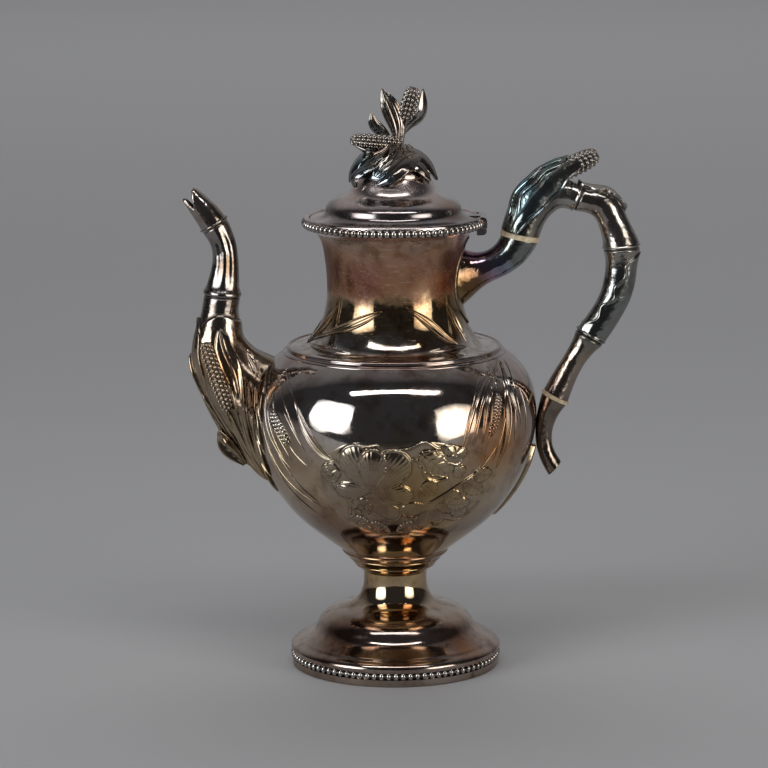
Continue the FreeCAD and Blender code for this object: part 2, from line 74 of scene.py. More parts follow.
def lengthOf(points):
    # length run at each point: the sum of the steps before it
    return np.concatenate([[0.0], np.cumsum(np.linalg.norm(np.diff(points, axis=0), axis=1))])


def insideOf(outline, wall):
    # the outline moved one wall thickness to its inner side
    p = curveThrough(outline, 5 * len(outline), 2)
    run = unit(np.gradient(p, axis=0))
    return np.stack([p[:, 0] - wall * run[:, 1], p[:, 1] + wall * run[:, 0]], 1)


def unit(v):
    # each vector divided by its length
    v = np.asarray(v, float)
    return v / np.maximum(np.linalg.norm(v, axis=-1, keepdims=True), 1e-9)


def aside(line):
    # the way square to a flat line, at each of its points
    along = unit(np.gradient(line, axis=0))
    return np.stack([-along[:, 1], along[:, 0]], 1)[:, None, :]


def fullTurn(count):
    # even angles all round, without the first one again
    return np.linspace(0, 2 * np.pi, count, endpoint=False)


def bump(x, middle, width):
    # bell curve: e to minus the square of (x - middle) / width
    return np.exp(-((x - middle) / width) ** 2)


def ease(x):
    # smooth step from 0 to 1: x^2 (3 - 2 x)
    x = np.clip(x, 0, 1)
    return x * x * (3 - 2 * x)


def halfRound(x):
    # height of a half circle over -1 to 1
    return np.sqrt(np.clip(1 - x ** 2, 0, 1))


# Meshes: a part is its corners, its faces of four corner numbers, and how dark each corner is painted as
# shade and grime, by how deep it lies in a groove

def gridFaces(rows, columns, wrapRows=False):
    # columns go round and meet; with wrapRows the rows do as well
    index = np.arange(rows * columns).reshape(rows, columns)
    index = np.concatenate([index, index[:, :1]], 1)
    if wrapRows:
        index = np.concatenate([index, index[:1]], 0)
    return np.stack([index[:-1, :-1], index[:-1, 1:], index[1:, 1:], index[1:, :-1]], -1).reshape(-1, 4)


def gridPart(points, hollow=None, wrapRows=False, closeEnds=False):
    # closeEnds draws each end row to its middle
    points = np.asarray(points, float)
    hollow = np.zeros(points.shape[:2]) if hollow is None else hollow + np.zeros(points.shape[:2])
    if closeEnds:
        first = np.broadcast_to(points[:1].mean(1, keepdims=True), points[:1].shape)
        last = np.broadcast_to(points[-1:].mean(1, keepdims=True), points[-1:].shape)
        points = np.concatenate([first, points, last])
        hollow = np.concatenate([hollow[:1], hollow, hollow[-1:]])
    return points.reshape(-1, 3), gridFaces(*points.shape[:2], wrapRows), hollow.ravel()


def mirrored(part):
    # the same part on the other side of the XZ plane
    corners, faces, hollow = part
    return corners * (1, -1, 1), faces[:, ::-1], hollow


def bothSides(parts):
    # the parts and their mirror images
    return parts + [mirrored(part) for part in parts]


def outOf(outline, part):
    # corners that reach through a turned wall are drawn back to the middle of that wall
    corners, faces, hollow = part
    profile = curveThrough(outline, 500, 2)
    wallRadius = np.interp(corners[:, 2], profile[:, 1], profile[:, 0]) - vessel["wall"] / 2
    radius = np.maximum(np.hypot(corners[:, 0], corners[:, 1]), 1e-6)
    through = (radius < wallRadius) & (corners[:, 2] > profile[0, 1]) & (corners[:, 2] < profile[-1, 1])
    grow = np.where(through, wallRadius / radius, 1.0)
    return corners * np.stack([grow, grow, np.ones_like(grow)], 1), faces, hollow


def addPiece(name, parts, finish, body="pot", replaces=(), sharp=None):
    # one mesh of all the parts, with doubles merged and faces turned outwards, on its body
    starts = np.cumsum([0] + [len(part[0]) for part in parts])
    corners = np.concatenate([part[0] for part in parts]) * mm
    faces = np.concatenate([part[1] + start for part, start in zip(parts, starts)]).astype(np.int32)
    hollow = np.concatenate([part[2] for part in parts])
    mesh = bpy.data.meshes.new(name)
    mesh.vertices.add(len(corners))
    mesh.vertices.foreach_set("co", corners.astype(np.float32).ravel())
    mesh.loops.add(faces.size)
    mesh.loops.foreach_set("vertex_index", faces.ravel())
    mesh.polygons.add(len(faces))
    mesh.polygons.foreach_set("loop_start", np.arange(0, faces.size, 4, dtype=np.int32))
    mesh.update(calc_edges=True)
    layer = mesh.attributes.new("hollow", "FLOAT", "POINT")
    layer.data.foreach_set("value", np.clip(hollow, 0, 1).astype(np.float32))
    work = bmesh.new()
    work.from_mesh(mesh)
    bmesh.ops.remove_doubles(work, verts=work.verts, dist=weldGap)
    bmesh.ops.recalc_face_normals(work, faces=work.faces)
    work.to_mesh(mesh)
    work.free()
    mesh.polygons.foreach_set("use_smooth", np.ones(len(mesh.polygons), bool))
    if sharp:
        mesh.set_sharp_from_angle(angle=math.radians(sharp))
    mesh.materials.append(finish)
    piece = bpy.data.objects.new(name, mesh)
    bpy.context.scene.collection.objects.link(piece)
    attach(piece, body)
    if replaces:
        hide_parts(*replaces)


# Turned shapes

def straight(*corners):
    # the straight stretches from corner to corner
    return [[start, end] for start, end in zip(corners, corners[1:])]


def profileOf(stretches, spacing):
    # stretches end to end: two points are straight, more are a smooth curve, an array is taken as it is
    rows = []
    for stretch in stretches:
        p = np.asarray(stretch, float)
        count = max(2, int(lengthOf(p)[-1] / spacing) + 1)
        if isinstance(stretch, np.ndarray):
            rows.append(p)
        elif len(p) == 2:
            rows.append(p[0] + np.linspace(0, 1, count)[:, None] * (p[1] - p[0]))
        else:
            rows.append(curveThrough(p, max(count, 3 * len(p)), 2))
    profile = np.concatenate(rows)
    profile = profile[np.concatenate([[True], np.linalg.norm(np.diff(profile, axis=0), axis=1) > same])]
    closed = np.linalg.norm(profile[0] - profile[-1]) < same
    return profile[:-1] if closed else profile


def turned(stretches, around=256, spacing=1.0, gapDegrees=0.0):
    # every profile point carried round the upright axis: (r cos turn, r sin turn, z);
    # a gap at the +X side is closed at its two ends
    r, z = profileOf(stretches, spacing).T
    if gapDegrees:
        turn = np.radians(np.linspace(gapDegrees, 360 - gapDegrees, around))[:, None]
        points = np.stack([r * np.cos(turn), r * np.sin(turn), z + 0 * turn], -1)
        return gridPart(points, closeEnds=True)
    turn = fullTurn(around)
    points = [np.outer(r, np.cos(turn)), np.outer(r, np.sin(turn)), np.outer(z, np.ones(around))]
    return gridPart(np.stack(points, -1), wrapRows=r[0] > same)


def wireRing(ring, height, radius, gapDegrees=0.0, dark=0.9):
    # round wire: a small circle carried round the upright axis; unless told otherwise it is painted dark all
    # over, as shade behind a bead row
    turn = fullTurn(16)
    section = np.stack([ring + radius * np.cos(turn), height + radius * np.sin(turn)], 1)
    corners, faces, hollow = turned([section], around=240, gapDegrees=gapDegrees)
    return corners, faces, hollow + dark


def beadRing(count, ring, height, radius, tall, deep, gapDegrees=0.0):
    # one small egg repeated round a ring; painted dark as shade where it meets the wall behind
    sides, rings = 10, 8
    turn = (np.arange(count) + 0.5) * 2 * np.pi / count
    turn = turn[np.minimum(turn, 2 * np.pi - turn) > math.radians(gapDegrees)][:, None]
    lat = np.linspace(-np.pi / 2, np.pi / 2, rings)
    lon = fullTurn(sides)
    out = np.outer(np.cos(lat), np.cos(lon)).ravel()
    across = radius * np.outer(np.cos(lat), np.sin(lon)).ravel()
    up = radius * tall * np.outer(np.sin(lat), np.ones(sides)).ravel()
    reach = ring + radius * deep * out
    x = reach * np.cos(turn) - across * np.sin(turn)
    y = reach * np.sin(turn) + across * np.cos(turn)
    corners = np.stack([x, y, height + up + 0 * turn], -1).reshape(-1, 3)
    faces = gridFaces(rings, sides)
    faces = (faces[None] + (np.arange(len(turn)) * len(out))[:, None, None]).reshape(-1, 4)
    return corners, faces, np.tile(np.clip(0.95 - 1.5 * out, 0, 1), len(turn))


# Tubes with an oval section that follow a bent line in the XZ plane

def limbTrack(sections, count=600):
    # sections are x, z, heading in degrees, half height and half width
    rows = curveThrough(sections, count, 2)
    run = lengthOf(rows[:, :2])
    return {"rows": rows, "run": run, "length": run[-1], "girth": rows[:, 3:5].mean(1)}


def onLimb(track, along, around, lift):
    # middle + up (half height + lift) cos around + across (half width + lift) sin around
    x, z, heading, high, wide = [np.interp(along, track["run"], track["rows"][:, j]) for j in range(5)]
    turn = np.radians(heading)
    up = (high + lift) * np.cos(around)
    return np.stack([x - np.sin(turn) * up, (wide + lift) * np.sin(around), z + np.cos(turn) * up], -1)


def limb(track, rows, around, lift=None, hollow=None):
    # lift(along, around) swells or pinches the tube, in mm
    along = np.linspace(0, track["length"], rows)[:, None] + np.zeros((1, around))
    turn = fullTurn(around)[None, :] + np.zeros((rows, 1))
    swell = lift(along, turn) if lift else 0 * along
    dark = hollow(along, turn) if hollow else None
    return gridPart(onLimb(track, along, turn, swell), dark, closeEnds=True)


# Hosts of ornament: place(a, b, lift) lays a flat pattern in mm on a surface, flat(spots) gives its points

def limbPlace(track):
    def place(a, b, lift):
        return onLimb(track, b, a / np.interp(b, track["run"], track["girth"]), lift)

    def flat(spots):
        # spots are length along and degrees round
        along, degrees = np.asarray(spots, float)[:, :2].T
        return np.stack([np.radians(degrees) * np.interp(along, track["run"], track["girth"]), along], 1)
    return SimpleNamespace(place=place, flat=flat)


def turnedPlace(outline, reference):
    profile = curveThrough(outline, 500, 2)
    run = lengthOf(profile)
    slope = unit(np.gradient(profile, axis=0))
    columns = (profile[:, 0], profile[:, 1], -slope[:, 0], slope[:, 1])

    def place(a, b, lift):
        r, z, outZ, outR = [np.interp(b, run, column) for column in columns]
        reach = r + lift * outR
        return np.stack([reach * np.sin(a / reference), -reach * np.cos(a / reference), z + lift * outZ], -1)

    def flat(spots):
        # spots are degrees from the front towards the handle, and height
        degrees, height = np.asarray(spots, float)[:, :2].T
        return np.stack([np.radians(degrees) * reference, np.interp(height, profile[:, 1], run)], 1)
    return SimpleNamespace(place=place, flat=flat)


# Ornament

kernel = {"fine": 7, "rise": 0.36, "front": (0, -1, 0),
          "girth": [(0, 0.62), (0.16, 0.92), (0.45, 1), (0.8, 0.92), (0.95, 0.68), (1, 0.36)],
          "laidHigh": 2.0, "laidSink": 0.5}


def kernelDome(row, column):
    # a half circle across times a half circle along, every other row moved on by half a kernel
    column = column + 0.5 * (np.floor(row) % 2)
    return halfRound(2 * (row - np.floor(row)) - 1) * halfRound(2 * (column - np.floor(column)) - 1)


def kernelGaps(dome):
    # painted shade and grime where the domes are low, in the gaps between kernels
    return np.clip(2.2 * (0.76 - dome), 0, 1)


def cornEar(base, tip, radius, rowsAround, kernelsAlong):
    # spindle whose skin rises in kernels
    t = np.linspace(0, 1, kernelsAlong * kernel["fine"] + 1)
    girth = np.interp(t, *curveThrough(kernel["girth"], 200, 2).T)
    phi = fullTurn(rowsAround * kernel["fine"])
    dome = kernelDome(phi / (2 * np.pi) * rowsAround, t[:, None] * kernelsAlong)
    r = radius * girth[:, None] * (1 - kernel["rise"] + kernel["rise"] * dome)
    base, tip = np.asarray(base, float), np.asarray(tip, float)
    axis = unit(tip - base)
    up = unit(np.asarray(kernel["front"], float) - axis * np.dot(kernel["front"], axis))
    side = np.cross(axis, up)
    points = (base + t[:, None] * (tip - base))[:, None, :]
    points = points + (r * np.cos(phi))[..., None] * up + (r * np.sin(phi))[..., None] * side
    return gridPart(points, kernelGaps(dome), closeEnds=True)


def freeLeaf(path, widths, facing, crown=0.15, thick=1.2, rib=0.35, veins=5, wave=0.0, columns=15):
    # blade along a path: across it the height is crown (1 - v^2), less a midrib groove and fine lengthwise
    # veins; the under side is the same blade one thickness lower, joined at the edges
    rows = 48
    line = curveThrough(np.column_stack([path, widths]), rows)
    middle, width = line[:, :3], np.maximum(line[:, 3:], 0.3)
    along = unit(np.gradient(middle, axis=0))
    side = unit(np.cross(along, np.asarray(facing, float)))[:, None, :]
    up = np.cross(side, along[:, None, :])
    v = np.linspace(-1, 1, columns)
    u = np.linspace(0, 1, rows)[:, None]
    vein = np.cos(v * np.pi * veins) * (1 - v ** 2)
    height = crown * width * (1 - v ** 2) + 0.12 * vein * np.minimum(1, width / 4)
    height = height - rib * bump(v, 0, 0.13) * np.minimum(1, width / 3)
    height = height + wave * width * np.sin(u * 9) * v * np.abs(v)
    thin = thick * (0.15 + 0.85 * (1 - v ** 4)) * np.minimum(1, 0.35 + width / 6)
    sheet = middle[:, None, :] + side * (v * width / 2)[..., None]
    top = sheet + up * height[..., None]
    under = sheet + up * (height - thin)[..., None]
    # the midrib and veins are painted dark as shade and grime; the whole under side is painted half dark, as
    # shade under the blade
    groove = np.clip(bump(v, 0, 0.1) + 0.35 * np.clip(-vein, 0, 1), 0, 1) + 0 * width
    hollow = np.concatenate([groove, np.full((rows, columns - 2), 0.55)], 1)
    return gridPart(np.concatenate([top, under[:, -2:0:-1]], 1), hollow, closeEnds=True)


def laidOn(host, flat, lift, hollow, sink):
    # patch on a host surface, closed by a back that lies inside the host and is painted fully dark as shade
    back = flat[:, [-1, flat.shape[1] // 2, 0]]
    top = host.place(flat[..., 0], flat[..., 1], lift)
    under = host.place(back[..., 0], back[..., 1], np.full(back.shape[:2], -sink))
    hollow = np.concatenate([hollow, np.ones(back.shape[:2])], 1)
    return gridPart(np.concatenate([top, under], 1), hollow, closeEnds=True)


def laidLeaf(host, spots, widths, high=0.9, rib=0.35, rim=0.25, veins=3, sink=0.5, edge=0.16, wavy=0.0,
             rows=56, columns=21):
    # blade on a host surface: a rounded slab with a raised rim, a midrib groove and fine veins
    line = curveThrough(np.column_stack([host.flat(spots), widths]), rows, 2)
    ripple = np.sin(np.linspace(0, 22, rows))[:, None]
    width = np.maximum(line[:, 2:] * (1 + wavy * ripple), 0.3)
    v = np.linspace(-1, 1, columns)
    flat = line[:, None, :2] + aside(line[:, :2]) * (v * width / 2)[..., None]
    slab = ease((1 - np.abs(v)) / edge)
    ridge = bump(np.abs(v), 1 - 1.2 * edge, 0.75 * edge) * (1 + 2 * wavy * ripple)
    vein = np.cos(v * np.pi * veins) * (1 - v ** 2)
    shape = high * slab * (0.7 + 0.12 * vein) + rim * ridge - rib * bump(v, 0, 0.1)
    lift = shape * np.minimum(1, width / 2.6) - 0.3 * sink * (1 - slab)
    # painted shade and grime in the midrib, the veins and the sunken edge round the blade
    midrib = (0.9 if rib else 0) * bump(v, 0, 0.1)
    groove = np.clip(midrib + (1 - slab) + 0.3 * np.clip(-vein, 0, 1), 0, 1) + 0 * width
    return laidOn(host, flat, lift, groove, sink)


def laidLeaves(host, leaves, **shape):
    # leaves are spots and widths
    return [laidLeaf(host, spots, widths, **shape) for spots, widths in leaves]


def sheath(track, spans, **shape):
    # leaf wrapped round a limb, the same on both sides; spans are length along and half angle in degrees
    along, angle = np.transpose(np.asarray(spans, float))
    widths = 2 * np.radians(angle) * np.interp(along, track["run"], track["girth"])
    return laidLeaf(limbPlace(track), np.stack([along, 0 * along], 1), widths, columns=41, rows=90, **shape)


def laidRidge(host, spots, wide, high, sink=0.25):
    # rounded thread along a line on a host surface, thinning at both ends
    path = host.flat(spots)
    count = max(10, int(lengthOf(path)[-1] / 0.8))
    line = curveThrough(path, count, 2)
    turn = fullTurn(8)
    taper = np.clip(np.sin(np.linspace(0, np.pi, count)) * 2.2, 0.15, 1)[:, None]
    flat = line[:, None, :] + aside(line) * (np.cos(turn) * wide / 2 * taper)[..., None]
    lift = np.where(np.sin(turn) > 0, np.sin(turn) * high, np.sin(turn) * sink) * taper
    # the lower side, where the thread meets the host, is painted dark as shade
    return gridPart(host.place(flat[..., 0], flat[..., 1], lift), 0.7 * (np.sin(turn) < 0.2), closeEnds=True)


def laidEar(host, base, tip, width, across, kernels):
    # half an ear on a host surface, with domed kernels in staggered rows
    base, tip = host.flat([base, tip])
    t = np.linspace(0, 1, kernels * kernel["fine"] + 1)[:, None]
    v = np.linspace(-1, 1, across * kernel["fine"] + 1)
    half = width / 2 * (0.25 + 0.75 * np.sin(np.pi * np.clip(0.08 + 0.84 * t, 0, 1)) ** 0.7)
    along = unit(tip - base)
    flat = base + t[..., None] * (tip - base) + np.array([-along[1], along[0]]) * (v * half)[..., None]
    dome = kernelDome((v + 1) / 2 * across * 0.9999, t * kernels)      # the far edge stays in the last row
    ends = np.clip(np.sin(np.pi * t) * 3, 0, 1)
    lift = kernel["laidHigh"] * halfRound(v) * (0.45 + 0.55 * dome) * ends - 0.1
    return laidOn(host, flat, lift, kernelGaps(dome), kernel["laidSink"])


# Finishes

def nodeKit(tree, place):
    # short calls that each add a node: a number or colour sets an input, a socket is joined to it
    nodes, join = tree.nodes, tree.links.new

    def put(socket, value):
        if isinstance(value, tuple):
            socket.default_value = (*value, 1)
        elif isinstance(value, (int, float)):
            socket.default_value = value
        else:
            join(value, socket)

    def noise(scale, detail, rough=0.5, vector=place):
        node = nodes.new("ShaderNodeTexNoise")
        for key, value in (("Scale", scale), ("Detail", detail), ("Roughness", rough), ("Vector", vector)):
            put(node.inputs[key], value)
        return node.outputs["Fac"]

    def calc(kind, *values):
        node = nodes.new("ShaderNodeMath")
        node.operation = kind
        for socket, value in zip(node.inputs, values):
            put(socket, value)
        return node.outputs[0]

    def ranged(value, low, high, toLow, toHigh):
        node = nodes.new("ShaderNodeMapRange")
        ends = (("From Min", low), ("From Max", high), ("To Min", toLow), ("To Max", toHigh))
        for key, number in (("Value", value), *ends):
            put(node.inputs[key], number)
        return node.outputs[0]

    def ramp(value, shares, colours):
        node = nodes.new("ShaderNodeValToRGB")
        while len(node.color_ramp.elements) < len(colours):
            node.color_ramp.elements.new(0.5)
        for stop, share, colour in zip(node.color_ramp.elements, shares, colours):
            stop.position = share
            stop.color = (*colour, 1)
        put(node.inputs[0], value)
        return node.outputs["Color"]

    def mixed(factor, a, b, blend="MIX"):
        node = nodes.new("ShaderNodeMix")
        node.data_type = "RGBA"
        node.blend_type = blend
        for key, value in (("Factor", factor), ("A", a), ("B", b)):
            put([s for s in node.inputs if s.name == key and s.enabled][0], value)
        return [s for s in node.outputs if s.enabled][0]

    def measured(kind, other):
        # distance to a point, or length along a way
        node = nodes.new("ShaderNodeVectorMath")
        node.operation = kind
        node.inputs[1].default_value = other
        join(place, node.inputs[0])
        return node.outputs["Value"]

    def axis(letter):
        node = nodes.new("ShaderNodeSeparateXYZ")
        join(place, node.inputs[0])
        return node.outputs[letter]
    return SimpleNamespace(nodes=nodes, join=join, place=place, noise=noise, calc=calc, ranged=ranged,
                           ramp=ramp, mixed=mixed, measured=measured, axis=axis)


def newFinish(name):
    # a new material, the inputs of its shader and its node calls
    material = bpy.data.materials.new(name)
    material.use_nodes = True
    nodes = material.node_tree.nodes
    kit = nodeKit(material.node_tree, nodes.new("ShaderNodeTexCoord").outputs["Object"])
    return material, nodes["Principled BSDF"].inputs, kit


tarnished = {"cloud": (0.60, 0.40, 0.28), "bloom": (0.40, 0.39, 0.42), "stain": (0.52, 0.38, 0.29),
             "speck": (0.34, 0.26, 0.21), "scratch": (0.56, 0.50, 0.45), "grimeAndShade": (0.022, 0.017, 0.014),
             "drift": 0.03, "dents": 0.35, "hairRotation": (0.5, 0.3, 0.7), "hairScale": (120, 1200, 1300)}


def silverFinish(name, bands, tarnish=0.5, blotch=24, bloom=0.3, film=None, scratch=0.5, cast=0.0, spots=(),
                 matte=None):
    # plate over white metal: bands are height, tone and roughness; over them brown clouds, a grey bloom,
    # stains at given spots (some of them painted shade), hairlines, and painted shade with grime in the
    # grooves
    material, inputs, kit = newFinish(name)
    calc, ranged, mixed = kit.calc, kit.ranged, kit.mixed
    heights, tones, polish = zip(*bands)
    low, high = heights[0], heights[-1]
    inputs["Metallic"].default_value = 1.0
    cloud = kit.noise(blotch, detail=6, rough=0.62)
    veil = kit.noise(blotch * 0.45, detail=3, rough=0.55)
    stain = kit.noise(blotch * 1.7, detail=9, rough=0.72)
    speck = kit.noise(95, detail=8, rough=0.62)
    uneven = calc("SUBTRACT", cloud, 0.5)
    share = ranged(calc("MULTIPLY_ADD", uneven, tarnished["drift"], kit.axis("Z")), low * mm, high * mm, 0, 1)
    stops = [(height - low) / (high - low) for height in heights]
    colour = kit.ramp(share, stops, tones)
    if film:                                       # thin violet to blue-green film
        way = kit.measured("DOT_PRODUCT", film["along"])
        reach = calc("MULTIPLY_ADD", uneven, film["ripple"] * mm, way)
        tint = kit.ramp(ranged(reach, film["start"] * mm, film["end"] * mm, 0, 1), *zip(*film["bands"]))
        colour = mixed(film["strength"], colour, tint)
    layers = [(cloud, 0.44, 0.7, tarnish, "cloud", "MULTIPLY"), (veil, 0.45, 0.68, bloom, "bloom", "MIX"),
              (stain, 0.5, 0.6, 0.8 * tarnish, "stain", "MULTIPLY"),
              (speck, 0.54, 0.72, tarnish, "speck", "MULTIPLY")]
    for pattern, start, full, most, tone, blend in layers:
        colour = mixed(ranged(pattern, start, full, 0, most), colour, tarnished[tone], blend)
    for middle, radius, tone in spots:             # ragged round stains, and painted shade where a spot stands in for it
        far = kit.measured("DISTANCE", [v * mm for v in middle])
        edge = calc("MULTIPLY_ADD", calc("SUBTRACT", stain, 0.5), 2 * radius * mm, far)
        colour = mixed(ranged(edge, 0.3 * radius * mm, radius * mm, 0.95, 0), colour, tone, "MULTIPLY")
    comb = kit.nodes.new("ShaderNodeMapping")      # hairlines: noise drawn out along one way
    comb.inputs["Rotation"].default_value = tarnished["hairRotation"]
    comb.inputs["Scale"].default_value = tarnished["hairScale"]
    kit.join(kit.place, comb.inputs["Vector"])
    hair = kit.noise(1, detail=3, vector=comb.outputs[0])
    colour = mixed(ranged(hair, 0.58, 0.74, 0, 0.16 * scratch), colour, tarnished["scratch"])
    # painted shade and grime: the colour goes towards near black where the hollow attribute is high
    groove = kit.nodes.new("ShaderNodeAttribute")
    groove.attribute_name = "hollow"
    hollow = groove.outputs["Fac"]
    kit.join(mixed(calc("MULTIPLY", hollow, 0.9), colour, tarnished["grimeAndShade"]), inputs["Base Color"])
    if matte:                                      # a dull film hides the metal at some heights
        kit.join(kit.ramp(share, stops, [(1 - m, 1 - m, 1 - m) for m in matte]), inputs["Metallic"])
        inputs["Specular IOR Level"].default_value = 0.2
    wear = kit.ramp(share, stops, [(r, r, r) for r in polish])
    duller = [(veil, 0.48, 0.7, 0.06), (stain, 0.5, 0.62, 0.05), (hair, 0.58, 0.72, 0.12 * scratch)]
    for pattern, start, full, most in duller:
        wear = calc("ADD", wear, ranged(pattern, start, full, 0, most))
    kit.join(calc("MULTIPLY_ADD", hollow, 0.25, wear), inputs["Roughness"])
    relief = kit.nodes.new("ShaderNodeBump")       # slow dents of beaten sheet, closer ones on castings
    relief.inputs["Distance"].default_value = mm
    height = calc("MULTIPLY", hair, 0.004 * scratch)
    height = calc("MULTIPLY_ADD", kit.noise(55, detail=2), tarnished["dents"], height)
    if cast:
        height = calc("MULTIPLY_ADD", kit.noise(190, detail=3, rough=0.4), cast, height)
    kit.join(height, relief.inputs["Height"])
    kit.join(relief.outputs[0], inputs["Normal"])
    return material


def boneFinish(name):
    # cream bone: faint warm grain and a soft polish
    material, inputs, kit = newFinish(name)
    inputs["Subsurface Weight"].default_value = 0.15
    inputs["Subsurface Scale"].default_value = 0.002
    grain = kit.noise(420, detail=5)
    kit.join(kit.ramp(grain, (0.25, 0.6), [(0.34, 0.25, 0.14), (0.60, 0.51, 0.36)]), inputs["Base Color"])
    kit.join(kit.ranged(grain, 0, 1, 0.28, 0.5), inputs["Roughness"])
    return material


greySilver = (0.60, 0.56, 0.52)
paleSilver = (0.76, 0.67, 0.65)
# lidBand is darker: a painted dark reflection on the lid's upright face
lidBand = (0.36, 0.33, 0.34)
roseSilver = (0.56, 0.46, 0.42)
footRose = (0.54, 0.445, 0.39)
shoulderTone = (0.42, 0.35, 0.33)
olive = (0.52, 0.42, 0.30)
panelOlive = (0.50, 0.41, 0.275)
gold = (0.62, 0.44, 0.22)
darkGold = (0.44, 0.33, 0.20)
neckHaze = (0.215, 0.118, 0.072)
copper = (0.46, 0.30, 0.20)
umber = (0.36, 0.28, 0.215)
smoke = (0.29, 0.28, 0.26)
peat = (0.23, 0.19, 0.155)
slate = (0.25, 0.265, 0.255)
# lighter tone for the top of the handle, partly a painted highlight
bendSilverAndHighlight = (0.47, 0.455, 0.425)
spoutOlive = (0.55, 0.44, 0.29)
spoutBrown = (0.46, 0.36, 0.26)
cornTone = (0.42, 0.39, 0.36)
cornBrown = (0.50, 0.40, 0.30)
beadTone = (0.52, 0.49, 0.46)
brassTone = (0.72, 0.53, 0.26)
brownStain = (0.80, 0.50, 0.30)
# used for real stains and for painted shade
darkStainAndShade = (0.40, 0.30, 0.24)
orangeStain = (1.0, 0.62, 0.36)
oliveStain = (0.92, 0.80, 0.58)

# films are bands of share and tone along a way, from start to end
handleFilm = {
    "bands": [(0, (0.40, 0.29, 0.15)), (0.22, (0.42, 0.29, 0.22)), (0.34, (0.55, 0.36, 0.60)),
              (0.5, (0.26, 0.32, 0.50)), (0.72, (0.27, 0.42, 0.43)), (1, (0.34, 0.36, 0.34))],
    "along": (0.8, 0, 0.6), "start": 144, "end": 186, "ripple": 20, "strength": 0.85}
huskFilm = {
    "bands": [(0, (0.26, 0.34, 0.31)), (0.3, (0.16, 0.34, 0.42)), (0.45, (0.30, 0.33, 0.33)),
              (0.6, (0.2, 0.36, 0.36)), (1, (0.30, 0.29, 0.27))],
    "along": (1, 0, 0.3), "start": 128, "end": 170, "ripple": 40, "strength": 0.75}
finialFilm = {
    "bands": [(0, (0.34, 0.36, 0.38)), (0.3, (0.24, 0.38, 0.46)), (0.5, (0.40, 0.37, 0.31)),
              (0.7, (0.38, 0.33, 0.32)), (1, (0.38, 0.35, 0.30))],
    "along": (1, 0, 0.3), "start": 50, "end": 100, "ripple": 60, "strength": 0.65}

# bands are height, tone and roughness; spots are middle, radius and tone
footSilver = silverFinish(
    "foot_silver", [(0, umber, 0.1), (8, footRose, 0.08), (24, footRose, 0.07), (34, olive, 0.05),
                    (48, gold, 0.06), (58, copper, 0.07)], tarnish=0.8,
    # the large dark spot at the left front of the dome stands in for a dark reflection there: painted
    spots=[((-30, -32, 22), 26, darkStainAndShade), ((34, -32, 18), 15, brownStain), ((4, -46, 12), 12, darkStainAndShade),
           ((8, -22, 30), 10, brownStain), ((40, 22, 18), 20, darkStainAndShade), ((-36, 28, 18), 18, brownStain)])
bowlSilver = silverFinish(
    "bowl_silver", [(56, copper, 0.08), (64, gold, 0.07), (76, umber, 0.11), (92, olive, 0.13),
                    (112, olive, 0.12), (126, greySilver, 0.06), (150, greySilver, 0.05),
                    (162, shoulderTone, 0.09)], tarnish=0.6,
    spots=[((50, -50, 126), 28, orangeStain), ((6, -66, 100), 36, oliveStain),
           ((-52, -46, 126), 18, (0.70, 0.60, 0.52)), ((67, -16, 130), 36, (0.66, 0.50, 0.43)),
           ((-34, -44, 84), 16, (0.72, 0.62, 0.55)), ((-40, 55, 120), 26, brownStain),
           ((30, 60, 110), 30, (0.8, 0.66, 0.5))])
neckSilver = silverFinish(
    "neck_silver", [(161, greySilver, 0.1), (167, greySilver, 0.07), (174, darkGold, 0.05),
                    (188, darkGold, 0.06), (194, neckHaze, 0.36), (214, neckHaze, 0.4), (222, umber, 0.14)],
    matte=[0, 0, 0, 0, 0.7, 0.75, 0.3], tarnish=0.85, bloom=0.12, scratch=1.3, blotch=48,
    # the two large dark spots on the left and right flanks of the neck are painted shade
    spots=[((26, -22, 196), 13, (1.0, 0.6, 0.3)), ((-14, -30, 200), 12, (0.75, 0.55, 0.6)),
           ((-33, -9, 205), 19, darkStainAndShade), ((33, -10, 206), 17, darkStainAndShade), ((26, -23, 208), 8, darkStainAndShade),
           ((0, 34, 196), 20, darkStainAndShade)])
# the darker band on the upright face and the two spots at its flanks are a painted dark reflection
lidSilver = silverFinish(
    "lid_silver", [(218, paleSilver, 0.16), (228, paleSilver, 0.2), (230, lidBand, 0.1), (235, lidBand, 0.11),
                   (240, paleSilver, 0.2), (258, paleSilver, 0.16)], tarnish=0.42, bloom=0.15, scratch=1.2,
    spots=[((30, -16, 232), 14, (0.7, 0.58, 0.5)), ((-32, -8, 232), 12, (0.6, 0.54, 0.5))])
beadSilver = silverFinish("bead_silver", [(0, beadTone, 0.1), (230, beadTone, 0.1)], tarnish=0.35)
cornSilver = silverFinish(
    "corn_silver", [(120, cornBrown, 0.1), (168, cornBrown, 0.1), (200, cornTone, 0.1), (292, cornTone, 0.1)],
    tarnish=0.4, blotch=60)
panelSilver = silverFinish(
    "panel_silver", [(74, gold, 0.08), (84, umber, 0.1), (98, panelOlive, 0.11), (122, panelOlive, 0.1),
                     (134, greySilver, 0.08), (160, greySilver, 0.1)], tarnish=0.6, blotch=40,
    spots=[((8, -66, 100), 30, oliveStain), ((46, -52, 128), 24, orangeStain)])
spoutSilver = silverFinish(
    "spout_silver", [(100, spoutOlive, 0.08), (128, spoutOlive, 0.08), (165, spoutBrown, 0.09),
                     (188, smoke, 0.13), (218, smoke, 0.13), (244, greySilver, 0.1)],
    tarnish=0.5, blotch=45, cast=0.5,
    # the last spot, on the cane, is partly brown tarnish, partly painted shade that breaks the cane's
    # highlight
    spots=[((-86, -14, 152), 13, (1.0, 0.7, 0.45)), ((-70, -22, 140), 13, darkStainAndShade),
           ((-82, -8, 204), 9, (0.55, 0.4, 0.3))])
